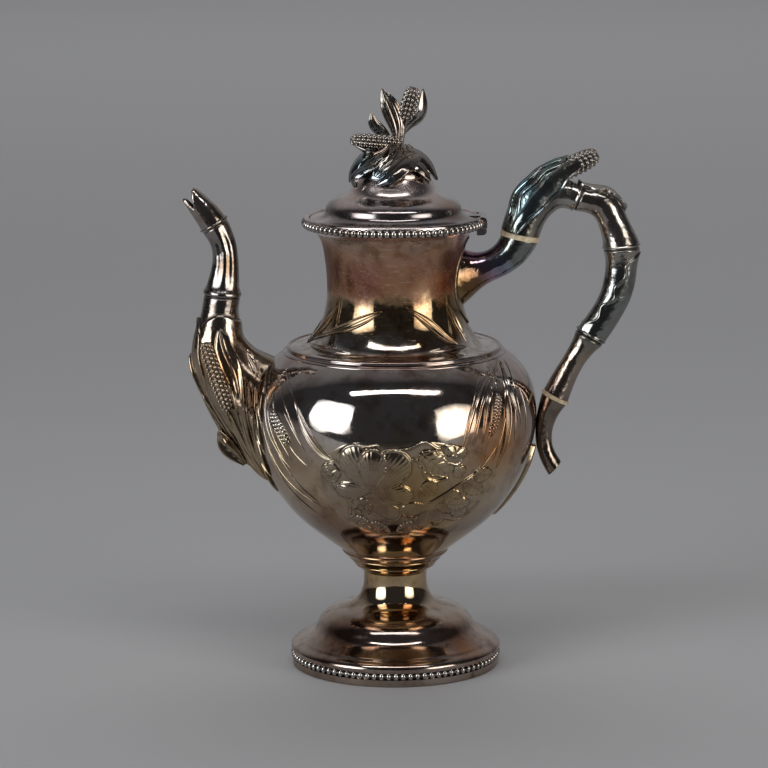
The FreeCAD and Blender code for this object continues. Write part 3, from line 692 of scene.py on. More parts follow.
# the lighter tone over the top bend is partly a painted highlight
handleSilver = silverFinish(
    "handle_silver", [(95, peat, 0.15), (130, peat, 0.15), (150, umber, 0.15), (168, slate, 0.15),
                      (196, slate, 0.15), (212, bendSilverAndHighlight, 0.15), (245, bendSilverAndHighlight, 0.15)],
    tarnish=0.5, blotch=40, cast=0.6,
    spots=[((66, -6, 226), 15, (0.45, 0.52, 0.52)), ((76, -6, 236), 10, (0.55, 0.58, 0.58))])
huskSilver = silverFinish("husk_silver", [(215, smoke, 0.12), (262, smoke, 0.12)], tarnish=0.4, film=huskFilm,
                          blotch=60, cast=0.6)
socketSilver = silverFinish(
    "socket_silver", [(180, darkGold, 0.09), (200, smoke, 0.09), (262, smoke, 0.09)], tarnish=0.6,
    # the spot at the root is partly darker tarnish, partly painted shade that dims the box's highlight there
    film=handleFilm, cast=0.5, spots=[((40, -12, 194), 15, (0.42, 0.30, 0.2))])
finialSilver = silverFinish(
    "finial_silver", [(240, roseSilver, 0.1), (256, smoke, 0.1), (275, umber, 0.1), (292, smoke, 0.1)],
    tarnish=0.5, blotch=60, cast=0.5, film=finialFilm)
brass = silverFinish("brass", [(0, brassTone, 0.25), (260, brassTone, 0.25)], tarnish=0.4)
bone = boneFinish("bone")
print("finishes made")


# Foot, collar, bowl and neck: outlines are radius and height

foot = {
    "ring": [(47, 0), (51.9, 0), (52.5, 0.6), (52.5, 3.6), (47, 3.6), (47, 0)],
    "skirt": 50.4, "skirtBase": 3.6, "skirtTop": 7.0, "skirtInnerTop": 12.0, "wall": 1.2,
    "roll": [(52.4, 7), (53.1, 8.5), (52.2, 10.7), (49.4, 12.3)],
    "dome": [(48.8, 13.2), (44, 16.2), (40.4, 19.4), (38.4, 22.8), (34, 26.9), (26.2, 29.5), (20, 32.4),
             (17, 37.2), (15.9, 44), (16.1, 47.6)],
    "stemTop": (14.9, 47.6),
    "beads": {"count": 90, "ring": 51.6, "height": 5.3, "radius": 1.45, "tall": 1.38, "deep": 1.05},
    "wire": {"ring": 51.6, "height": 5.3, "radius": 0.85}}
domeInner = insideOf(foot["dome"], foot["wall"])
skirtInner = foot["skirt"] - foot["wall"]
skirt = straight((skirtInner, foot["skirtBase"]), (foot["skirt"], foot["skirtBase"]),
                 (foot["skirt"], foot["skirtTop"]), foot["roll"][0])
lining = straight(domeInner[0], (skirtInner, foot["skirtInnerTop"]), (skirtInner, foot["skirtBase"]))
pedestal = turned(skirt + [foot["roll"]] + straight(foot["roll"][-1], foot["dome"][0]) + [foot["dome"]]
                  + straight(foot["dome"][-1], foot["stemTop"]) + [domeInner[::-1]] + lining, spacing=0.8)
addPiece("foot_ring", [turned(straight(*foot["ring"]))], footSilver,
         replaces=["foot_base_ring"], sharp=35)
addPiece("foot_dome", [pedestal], footSilver, replaces=["foot_pedestal"], sharp=35)
addPiece("foot_beads", [beadRing(**foot["beads"]), wireRing(**foot["wire"])], beadSilver,
         replaces=["foot_bead_wire"])

vessel = {
    "wall": 1.2,
    "collar": [(16.2, 47.6), (19.4, 50.6), (21, 52), (22, 53.4), (22.6, 54.3), (23.9, 55.6), (25.4, 56.9),
               (26.4, 57.8), (26.6, 58.6)],
    "collarTop": (25, 58.6),
    "collarRings": [(19.8, 51.2, 0.55), (22.8, 54.9, 0.55), (26.2, 58.4, 0.6)],
    "bowl": [(27, 59.6), (39.2, 68.8), (48.8, 77), (57.6, 87.4), (64.8, 99.4), (69.4, 113.6), (71.3, 127),
             (69.8, 141.4), (66.4, 149.2), (61, 155.8), (53.6, 161.4)],
    "floor": 58.6, "foot": 26.6, "footInner": 24.0, "shoulder": 161.4, "shoulderInner": 51.0,
    "ridges": [(52.7, 162.6, 0.95), (55, 160.1, 0.75)],
    "wire": [(52.4, 161.4), (53.6, 161.4), (53.4, 162.7), (52.4, 163.2)],
    "neck": [(50.6, 163.4), (43.6, 164.8), (38.9, 170.2), (36, 176), (33.5, 189), (33.4, 196), (34.8, 210),
             (37.2, 218), (39.2, 220.6)],
    "flange": 52.4, "flangeInner": 44.0, "flangeTop": 162.6, "neckTop": (37.7, 220.6)}
collarInner = insideOf(vessel["collar"], vessel["wall"])
collarShell = turned([vessel["collar"]] + straight(vessel["collar"][-1], vessel["collarTop"])
                     + [collarInner[::-1]] + straight(collarInner[0], vessel["collar"][0]), spacing=0.6)
addPiece("collar", [collarShell] + [wireRing(*ring, dark=0) for ring in vessel["collarRings"]], footSilver,
         replaces=["stem_collar"], sharp=40)
bowlInner = insideOf(vessel["bowl"], vessel["wall"])
floorTop = vessel["floor"] + vessel["wall"]
bowlFloor = straight((0, vessel["floor"]), (vessel["foot"], vessel["floor"]), vessel["bowl"][0])
bowlTop = straight(vessel["bowl"][-1], (vessel["shoulderInner"], vessel["shoulder"]))
innerFloor = straight(bowlInner[0], (vessel["footInner"], floorTop), (0, floorTop))
bowlShell = turned(bowlFloor + [vessel["bowl"]] + bowlTop + [bowlInner[::-1]] + innerFloor, around=360,
                   spacing=1.2)
addPiece("bowl_shell", [bowlShell], bowlSilver, replaces=["bowl"], sharp=40)
shoulderWire = turned(straight(*vessel["wire"][:2]) + [vessel["wire"][1:]]
                      + straight(vessel["wire"][-1], vessel["wire"][0]), spacing=0.4)
ridges = [wireRing(*ridge, dark=0) for ridge in vessel["ridges"]]
addPiece("shoulder_bead", [shoulderWire] + ridges, bowlSilver, replaces=["shoulder_wire"],
         sharp=40)
neckInner = insideOf(vessel["neck"], vessel["wall"])[4:-2]     # without its bent ends
flangeBase = (vessel["flangeInner"], vessel["shoulder"])
flange = straight(flangeBase, (vessel["flange"], vessel["shoulder"]), (vessel["flange"], vessel["flangeTop"]),
                  vessel["neck"][0])
neckShell = turned(flange + [vessel["neck"]] + straight(vessel["neck"][-1], vessel["neckTop"])
                   + [neckInner[::-1]] + straight(neckInner[0], flangeBase), around=360)
addPiece("neck_shell", [neckShell], neckSilver, replaces=["neck"], sharp=40)
print("vessel turned")


# Chased leaves and ears on bowl and neck, the same on the back

onBowl = turnedPlace(vessel["bowl"], reference=68)
onNeck = turnedPlace(vessel["neck"], reference=36)
bowlChasing = {
    "leafShape": {"high": 0.5, "rib": 0.35, "rim": 0.4, "edge": 0.2}, "stemShape": {"wide": 0.8, "high": 0.4},
    "leaves": [
        ([(-61.5, 156), (-43.4, 142), (-38.9, 133.9), (-34.4, 126.2), (-28.8, 119.8), (-24.1, 117.3)],
         [0.8, 1.6, 3.4, 5.4, 4, 0.8]),
        ([(55.6, 158.7), (38, 148.8), (30.3, 134.2), (27.9, 123.6)], [0.8, 2.6, 3, 0.8]),
        ([(63.5, 158.3), (56.3, 148.3), (58.7, 131.9)], [0.8, 2.8, 0.8]),
        ([(66.4, 159.1), (51.8, 142.8), (48.8, 118.6), (45.9, 108.8)], [0.8, 2.4, 2.4, 0.6]),
        ([(68.2, 160.4), (41.4, 144.6), (36.6, 123.4)], [1, 2.6, 0.8])],
    "ears": [((-58.4, 137.3), (-46.4, 121.7), 7, 3, 10), ((48.2, 146.8), (40.5, 126.7), 5.6, 2, 13)],
    "stems": [
        [(-60.2, 132.2), (-52.4, 123.5), (-46.1, 113.2)], [(-66.2, 147.9), (-61.2, 126.8), (-47.7, 109)],
        [(-66.8, 130.5), (-56.8, 107.2), (-33.9, 89.5)], [(63.3, 160), (40, 147.1), (30.8, 123.2)],
        [(71.4, 159.2), (59.9, 143.7), (61.7, 126)], [(-61.5, 157), (-60, 146), (-57, 137)],
        [(52, 159), (50, 153), (48.6, 149)], [(-47, 122), (-42, 116), (-37, 112)],
        [(44, 150), (36, 138), (33, 124)], [(54, 150), (53.5, 134), (50, 116)],
        [(-52, 140), (-45, 131), (-38, 120)], [(46, 158), (35, 147), (29.5, 131)],
        [(49, 157), (42.5, 140), (38.5, 118)], [(57, 156), (49, 133), (43, 112)],
        [(60, 154), (57, 140), (56, 120)], [(64, 150), (65, 138), (66, 122)],
        [(45, 122), (38, 112), (33, 106)], [(-58, 150), (-48, 138), (-41, 126)],
        [(-63, 140), (-57, 124), (-50, 112)], [(-56, 118), (-46, 102), (-36, 92)],
        [(-64, 120), (-54, 98), (-42, 86)]]}
chased = laidLeaves(onBowl, bowlChasing["leaves"], **bowlChasing["leafShape"])
chased += [laidEar(onBowl, *ear) for ear in bowlChasing["ears"]]
chased += [laidRidge(onBowl, stem, **bowlChasing["stemShape"]) for stem in bowlChasing["stems"]]
addPiece("bowl_chasing", bothSides(chased), panelSilver)

neckChasing = {
    "leafShape": {"high": 0.7, "rib": 0.35, "rim": 0.45, "edge": 0.2},
    "leaves": [
        ([(-88.7, 165.3), (-55.6, 173.3), (-36.4, 177.9), (-22.3, 181.9), (-10.2, 185.4)],
         [1, 3.5, 5.5, 4.5, 0.5]),
        ([(-87.4, 164.9), (-69.3, 176.1), (-55.1, 186)], [1, 3.8, 0.6]),
        ([(-79.5, 165.4), (-45.7, 165.2), (-29.2, 165.1)], [1, 3.4, 0.6]),
        ([(10, 187.3), (22, 182.3), (33.2, 176.5), (41, 171.4), (50.3, 167.1)], [0.6, 4, 5.4, 4, 1]),
        ([(50.4, 187.5), (58.8, 177.5), (61.9, 167.9)], [0.6, 4, 1]),
        ([(24, 166), (40, 166.4), (58, 166)], [0.6, 3.4, 1])]}
chased = laidLeaves(onNeck, neckChasing["leaves"], **neckChasing["leafShape"])
addPiece("neck_chasing", bothSides(chased), neckSilver)
print("chasing laid")


# Engraved panel on the bowl: a thin skin that rises in leaves, rosettes and tendrils, less their outlines

panel = {
    "edge": [(-32.5, 111.6), (-22, 125.1), (-3.9, 128.5), (11.7, 128.2), (27.2, 124.2), (47.2, 108.6),
             (44.6, 90.1), (26.1, 78.2), (2.8, 75.9), (-24.7, 81.8), (-32.2, 98.3)],
    "lobes": [
        ((-9.9, 101.9), [((-25.5, 102.6), 9.5), ((7.5, 99.6), 12), ((-18.3, 126.2), 17), ((3.6, 122.6), 18),
                         ((-8.6, 124.6), 13)]),
        ((16.6, 92.8), [((2.2, 91.4), 10.5), ((11, 80.6), 9.5), ((22.9, 82.6), 9), ((28.6, 91.6), 8)])],
    "leaves": [
        ((10.2, 122.5), (21.9, 109.5), 12), ((22, 100), (31, 94), 9), ((30, 105.6), (41.5, 98), 9.5),
        ((34, 108.5), (44.5, 107.5), 8), ((28.2, 108.6), (25, 115), 7), ((-13, 84), (-3, 78.5), 8),
        ((10, 84), (1, 79.5), 8), ((27, 92), (37, 87), 9), ((24, 94), (36.5, 93.5), 8),
        ((11.9, 107), (17.4, 100), 9), ((-22.5, 87), (-13, 84.5), 6)],
    "rosettes": [((-15.4, 93.7), 6, 6), ((24.1, 120.8), 6.4, 5), ((-27, 111.2), 5.4, 5)],
    "tendrils": [
        [(-23.1, 117.4), (-21.5, 123), (-16.9, 125.7), (-11.4, 125.3), (-6.9, 126.2)],
        [(2.3, 123.9), (5.9, 124.6), (12.5, 127.3), (17.5, 123.9), (20.7, 125.2), (27.3, 124.4)],
        [(7.2, 119.1), (10.2, 117.4), (12.4, 110.1), (16.4, 107.4), (21.7, 108.5)],
        [(15.6, 95.8), (22, 100.3), (29.8, 105.9), (38.2, 111)],
        [(-28.9, 108), (-25.7, 101), (-20.8, 96.4), (-22.3, 87.4), (-15.2, 80.5), (-10.7, 77.8)],
        [(-10, 90), (-5, 86.5), (1, 86.6), (2.5, 91), (-2, 95)],
        [(5.6, 79.9), (14.3, 82.3), (24.1, 86.1), (33, 84), (42, 92)]],
    "grain": 0.37, "thick": 0.8, "margin": 2, "high": 1.1, "lobeHigh": 2.1, "shoulder": 0.66,
    "rayDegrees": 5.5}


def alongFrom(a, b, base, tip):
    # share along a line on the flat pattern, distance aside from it, and its length
    start, end = onBowl.flat([base, tip])
    length = np.hypot(*(end - start))
    way = (end - start) / length
    share = ((a - start[0]) * way[0] + (b - start[1]) * way[1]) / length
    return share, (b - start[1]) * way[0] - (a - start[0]) * way[1], length


def rosette(a, b, height, dark, spot, radius, petals):
    # petals round a button, with fine rays and a raised rim; lines and rays painted dark as shade and grime
    (ca, cb), = onBowl.flat([spot])
    far = np.hypot(a - ca, b - cb)
    turn = np.arctan2(b - cb, a - ca)
    fold = np.abs(np.cos(petals * turn / 2))
    share = far / (radius * (0.86 + 0.14 * fold))
    petal = halfRound(share) * (0.55 + 0.45 * fold ** 0.6)
    shape = panel["high"] * (petal * ease(far / (0.3 * radius)) + 0.9 * bump(far, 0, 0.18 * radius))
    line = np.maximum(bump(share, 1, 0.07), bump(fold, 0, 0.12) * (share < 1) * (share > 0.3))
    line = np.maximum(line, bump(far, 0.32 * radius, 0.35))
    rays = 0.5 + 0.5 * np.cos(turn * petals * 5)
    shape = shape - 0.08 * rays * ease(far / radius) + 0.6 * bump(share, 0.93, 0.06)
    dark = np.where(share < 1.15, 0.6 * line + 0.2 * rays * (share < 0.9), dark)
    return np.where(share < 1, shape, height), dark


def lobe(a, b, height, dark, base, tip, width):
    # fan blade that widens to its shoulder and ends round, with rays from its base and a raised rim
    u, v, length = alongFrom(a, b, base, tip)
    shoulder = panel["shoulder"]
    narrow = np.abs(v) / (width / 2 * np.sin(np.pi / 2 * np.clip(u / shoulder, 0, 1)) + 0.01)
    cap = np.where(u < shoulder, narrow, np.hypot(2 * v / width, (u - shoulder) / (1 - shoulder)))
    inside = (u > 0) & (cap < 1)
    angle = np.degrees(np.arctan2(v, u * length + 0.01))
    ray = bump(angle / panel["rayDegrees"] % 1, 0.5, 0.24) * ease(u / 0.15) * (cap < 0.9)
    dome = halfRound(cap) * (0.2 + 0.8 * ease(u / 0.75))
    height = np.where(inside, panel["lobeHigh"] * dome - 0.16 * ray + 0.7 * bump(cap, 0.94, 0.04), height)
    # the rays are painted dark as shade and grime; a painted shadow lies just outside the rim
    return height, np.where(inside, 0.3 * ray, np.maximum(dark, 0.55 * (u > 0) * bump(cap, 1.05, 0.04)))


def wavyLeaf(a, b, height, dark, base, tip, width):
    # pointed leaf with a scalloped edge, a midrib and slanting veins
    u, v, length = alongFrom(a, b, base, tip)
    on = (u > 0) & (u < 1)
    full = np.clip(np.sin(np.pi * np.clip(u, 0, 1) ** 0.75), 0, 1)
    half = width / 2 * full ** 0.7 * (1 + 0.09 * np.cos(9 * np.pi * u)) + 0.01
    share = np.abs(v) / half
    inside = on & (share < 1)
    vein = bump((u * 5.5 - 0.9 * share) % 1, 0.5, 0.1) * (share < 0.92)
    line = np.maximum(bump(v, 0, 0.25), 0.7 * vein)
    outline = bump(half - np.abs(v), 0.4, 0.3)
    dome = halfRound(share) * (0.5 + 0.5 * np.sin(np.pi * np.clip(u, 0, 1)))
    height = np.where(inside, panel["high"] * dome - 0.18 * line + 0.7 * outline, height)
    # painted shadow just outside the leaf's edge; the midrib and veins are painted dark as shade and grime
    shade = 0.5 * on * bump(np.abs(v) - half, 0.2, 0.3)
    return height, np.where(inside, 0.45 * line, np.maximum(dark, shade))


def tendril(a, b, height, dark, path):
    # thread with a groove on each side, the grooves painted dark as shade and grime
    line = curveThrough(onBowl.flat(path), 120, 2)
    far = np.sqrt(np.min([(a - x) ** 2 + (b - y) ** 2 for x, y in line], axis=0))
    height = np.maximum(height, height * ease(far / 1.2) + 0.8 * bump(far, 0, 0.5))
    return height, np.where(far < 1.5, np.maximum(dark * ease(far / 1.2), 0.5 * bump(far, 0.95, 0.3)), dark)


def panelRelief(a, b):
    # height and painted darkness over the flat pattern (shade and grime in the lines, painted shadow round
    # leaves and lobes); a later motif covers an earlier one
    motifs = [(rosette, motif) for motif in panel["rosettes"]]
    motifs += [(lobe, (base, tip, width)) for base, fan in panel["lobes"] for tip, width in fan]
    motifs += [(wavyLeaf, motif) for motif in panel["leaves"]]
    motifs += [(tendril, (path,)) for path in panel["tendrils"]]
    height = 0 * a
    dark = 0 * a
    for draw, motif in motifs:
        height, dark = draw(a, b, height, dark, *motif)
    return height, dark


def engravedPanel():
    # the skin sinks into the bowl outside its edge; its end rows meet the under side
    edge = onBowl.flat(panel["edge"])
    low, high = edge.min(0) - panel["margin"], edge.max(0) + panel["margin"]
    a, b = np.meshgrid(np.arange(low[0], high[0], panel["grain"]), np.arange(low[1], high[1], panel["grain"]))
    middle = edge.mean(0)
    ring = curveThrough(np.concatenate([edge, edge[:1]]), 400, 2) - middle
    reach = np.interp(np.arctan2(b - middle[1], a - middle[0]), np.arctan2(ring[:, 1], ring[:, 0]),
                      np.hypot(*ring.T), period=2 * np.pi)
    show = ease((reach - np.hypot(a - middle[0], b - middle[1]) + 0.6) / 1.2)
    height, dark = panelRelief(a, b)
    lift = show * (height + 0.04) - 0.4 * (1 - show)
    lift[[0, -1]] = -panel["thick"]
    top = onBowl.place(a, b, lift)
    under = onBowl.place(a, b, np.full_like(a, -panel["thick"]))
    hollow = np.concatenate([dark * show, np.ones_like(a)], 1)
    return gridPart(np.concatenate([top, under[:, ::-1]], 1), hollow)


frontPanel = engravedPanel()
addPiece("bowl_engraving", [frontPanel], panelSilver)
addPiece("bowl_engraving_back", [mirrored(frontPanel)], panelSilver)
print("panel engraved")


# Mouth, lid and hinge

mouth = {
    "throat": 37.2, "base": 220.6, "seat": 226.4, "rollInner": 42.0, "roll": 1.25, "rollSide": 227.1,
    "rollBase": 226.5, "back": 42.9, "backBase": 223.2,
    "lip": [(43.6, 223.2), (42.8, 222.6), (41, 221.4), (39.4, 220.6)],
    "behindHinge": 41.1, "behindBase": 221.5, "hingeHalf": 9.6, "beadGap": 1.6,
    "beads": {"count": 82, "ring": 44.2, "height": 225.0, "radius": 1.62, "tall": 1.35, "deep": 1.05},
    "wire": {"ring": 44.2, "height": 225.0, "radius": 0.85}}
arc = np.linspace(np.pi, 0, 13)
rollArc = np.stack([mouth["rollInner"] + mouth["roll"] * (1 + np.cos(arc)),
                    mouth["rollSide"] + mouth["roll"] * np.sin(arc)], 1)
hingeGap = math.degrees(math.asin(mouth["hingeHalf"] / mouth["wire"]["ring"]))
throatBase = (mouth["throat"], mouth["base"])
throatTop = (mouth["throat"], mouth["seat"])
rimSeat = straight(throatBase, throatTop, (mouth["rollInner"], mouth["seat"]), rollArc[0])
rimBack = straight(rollArc[-1], (rollArc[-1][0], mouth["rollBase"]), (mouth["back"], mouth["rollBase"]),
                   (mouth["back"], mouth["backBase"]), mouth["lip"][0])
rim = turned(rimSeat + [rollArc] + rimBack + [mouth["lip"]] + straight(mouth["lip"][-1], throatBase),
             around=320, spacing=0.7, gapDegrees=hingeGap)
throatBox = straight(throatBase, mouth["lip"][-1], (mouth["behindHinge"], mouth["behindBase"]),
                     (mouth["behindHinge"], mouth["seat"]), throatTop, throatBase)
throat = turned(throatBox, around=180, spacing=1.5)
addPiece("mouth_roll", [rim, throat], lidSilver, replaces=["mouth_rim"], sharp=40)
mouthBeads = beadRing(**mouth["beads"], gapDegrees=hingeGap + mouth["beadGap"])
addPiece("mouth_beads", [mouthBeads, wireRing(**mouth["wire"], gapDegrees=hingeGap)], beadSilver,
         replaces=["mouth_bead_wire"])

lid = {
    "flange": 41.5, "bottom": 226.7, "edge": 227.5, "wall": 1.1,
    "dome": [(41.2, 227.7), (36.8, 228.6), (34.3, 230.4), (33.4, 233.4), (31.6, 235.6), (26, 237.9),
             (22.4, 240), (20.4, 243.6), (18.4, 247.7), (12.6, 253.4), (6, 255.6)],
    "bezelOuter": 36.2, "bezelInner": 35.2, "bezelBottom": 219.5, "lining": 2.4, "stud": 1.6,
    "top": 255.6, "topInner": 254.5}
lidInner = insideOf(lid["dome"], lid["wall"])
liningEnd = 12                                     # the lining leaves out the bent rim
bezelTop = (lid["bezelInner"], lid["bottom"])
lidEdge = straight(bezelTop, (lid["flange"], lid["bottom"]), (lid["flange"], lid["edge"]), lid["dome"][0])
studHole = straight(lid["dome"][-1], (lid["stud"], lid["top"]), (lid["stud"], lid["topInner"]), lidInner[-1])
lidFoot = straight(lidInner[liningEnd], (lid["bezelInner"] - lid["lining"], lid["bottom"]), bezelTop)
lidShell = turned(lidEdge + [lid["dome"]] + studHole + [lidInner[liningEnd:][::-1]] + lidFoot, around=320,
                  spacing=0.8)
addPiece("lid_shell", [lidShell], lidSilver, body="lid", replaces=["lid_dome"], sharp=40)
bezelBase = (lid["bezelInner"], lid["bezelBottom"])
bezel = straight(bezelBase, (lid["bezelOuter"], lid["bezelBottom"]), (lid["bezelOuter"], lid["bottom"]),
                 bezelTop, bezelBase)
addPiece("lid_collar", [turned(bezel, spacing=1.5)], lidSilver, body="lid",
         replaces=["lid_bezel"], sharp=40)
print("mouth and lid turned")


# Finial: drooping leaves on a boss, a lying and an upright ear, a tall leaf and a small one

finial = {
    "boss": [(18.6, 248.4), (18, 250.8), (15.6, 254.8), (12, 258.6), (7.6, 262), (4.4, 264.8)],
    "bossTop": 265.4,
    "seat": [(18.4, 247.9), (12.6, 253.5), (6, 255.7)],
    "huskShape": {"high": 1.3, "rim": 0.6, "rib": 0.6, "wavy": 0.05},
    "husks": [
        ([(70, 262), (48, 259), (22, 254.6), (0, 250)], [3, 8, 9, 2]),
        ([(-20, 262.4), (-34, 259), (-52, 254.6), (-62, 249.6)], [3, 7, 8, 2]),
        ([(20, 262.6), (6, 258.6), (-14, 254), (-28, 249.4)], [3, 8, 8, 2]),
        ([(100, 262.4), (84, 258), (66, 253.6), (56, 249.4)], [3, 7, 8, 2]),
        ([(-80, 262), (-92, 258), (-104, 253.6), (-112, 249.4)], [3, 8, 9, 2]),
        ([(140, 262), (132, 258), (124, 253.6), (118, 249.4)], [3, 8, 9, 2]),
        ([(178, 262), (172, 258), (164, 253.6), (158, 249.4)], [3, 8, 9, 2]),
        ([(-130, 262), (-138, 258), (-146, 253.6), (-152, 249.4)], [3, 8, 9, 2])],
    "leafShape": {"crown": 0.22, "thick": 1.5, "rib": 0.5, "veins": 4, "wave": 0.04}, "leafUp": 22,
    "leaves": [
        ([(-6, 2, 261.4), (-12.4, 1, 258), (-16.8, 0, 253.6), (-19.6, -1, 249.4), (-22, -2, 245.4)],
         [7, 14, 15, 11, 0.8]),
        ([(-3, -8, 258.4), (-10.9, -12, 254), (-16, -12.5, 251.4), (-19, -12.5, 248.4), (-18.4, -13, 243.4)],
         [6, 9, 9, 7, 1]),
        ([(12, -7, 259), (6, -13, 256.4), (0, -17.4, 251.4), (-9, -19.2, 245.6)], [6, 13, 13, 0.8]),
        ([(4, -2, 261.6), (10, -3, 259), (15, -4, 255), (18.6, -5, 250.6), (22, -6, 246.8)],
         [7, 14, 15, 11, 0.8]),
        ([(6, -8, 258), (13, -11.4, 253.2), (18.6, -12, 247)], [6, 10, 0.8]),
        ([(-4, 8, 259), (-11, 13, 255), (-17, 15, 247.4)], [5, 10, 0.8]),
        ([(0, 8, 259.4), (1, 15, 255.6), (2, 21, 246)], [5, 11, 0.8]),
        ([(5, 7, 259), (12, 12.6, 254.6), (17.4, 15, 246.6)], [5, 10, 0.8])],
    "lying": ((4.4, -1, 264), (-21.2, -2, 266.4), 4, 10, 10),
    "lyingHusk": ([(5, -1, 261.6), (-5, -1.6, 260.6), (-13, -2, 261.6), (-19, -2, 263.6)], [4, 8, 8, 1]),
    "upright": ((5.7, 0, 275.6), (10.4, 0, 292), 4.5, 11, 7),
    "stalk": [(3.2, 261, 85, 1.7, 1.7), (4.4, 268, 82, 1.4, 1.4), (5.8, 276.4, 78, 2.2, 2.2)],
    "husk": ([(4.6, 0.4, 268), (9.4, 1, 274), (13.6, 1.6, 278), (14.8, 1.8, 284.6), (14.9, 1.5, 290.8)],
             [2, 6, 8, 7.6, 1.2]),
    "tall": ([(1.6, -1.6, 262.6), (2.2, -1.6, 270), (0, -1.2, 279), (-3, -0.8, 286), (-5.4, -0.4, 291.3)],
             [3, 6.5, 9.8, 7.2, 0.6]),
    "small": ([(-1, 2.6, 262.6), (-5, 2.4, 269.4), (-9.4, 2, 273.8), (-10.6, 1.6, 279.4)], [3, 5, 5.8, 0.6])}
onBoss = turnedPlace(finial["boss"], reference=13)
seat = finial["seat"]
bossUnder = straight((0, seat[-1][1]), seat[-1]) + [seat[::-1]] + straight(seat[0], finial["boss"][0])
bossOver = [finial["boss"]] + straight(finial["boss"][-1], (0, finial["bossTop"]))
calyx = [turned(bossUnder + bossOver, around=96, spacing=0.8)]
calyx += laidLeaves(onBoss, finial["husks"], **finial["huskShape"])
calyx += [freeLeaf(path, widths, (*path[-1][:2], finial["leafUp"]), **finial["leafShape"])
          for path, widths in finial["leaves"]]     # blades face outwards and up
addPiece("finial_leaves", calyx, finialSilver, body="lid", replaces=["finial_calyx"])
lyingHusk = freeLeaf(*finial["lyingHusk"], (0, 0, -1), crown=0.3)
addPiece("finial_ear_lying", [cornEar(*finial["lying"]), lyingHusk], cornSilver, body="lid",
         replaces=["finial_lying_ear"])
uprightHusk = freeLeaf(*finial["husk"], (1, -0.7, 0), crown=0.2, rib=0.3)
stalk = limb(limbTrack(finial["stalk"]), rows=20, around=16)
addPiece("finial_ear_upright", [cornEar(*finial["upright"]), stalk, uprightHusk], cornSilver, body="lid",
         replaces=["finial_upright_ear"])
tallLeaf = freeLeaf(*finial["tall"], (0, -1, 0), crown=0.12, rib=0.5, veins=7, columns=29)
addPiece("finial_leaf_tall", [tallLeaf], finialSilver, body="lid", replaces=["finial_tall_leaf"])
smallLeaf = freeLeaf(*finial["small"], (0, -1, 0), crown=0.14, rib=0.4)
addPiece("finial_leaf_small", [smallLeaf], finialSilver, body="lid", replaces=["finial_small_leaf"])
print("finial made")


# Spout: leafy root with two ears, a curling leaf under it, a jointed cane and the beak

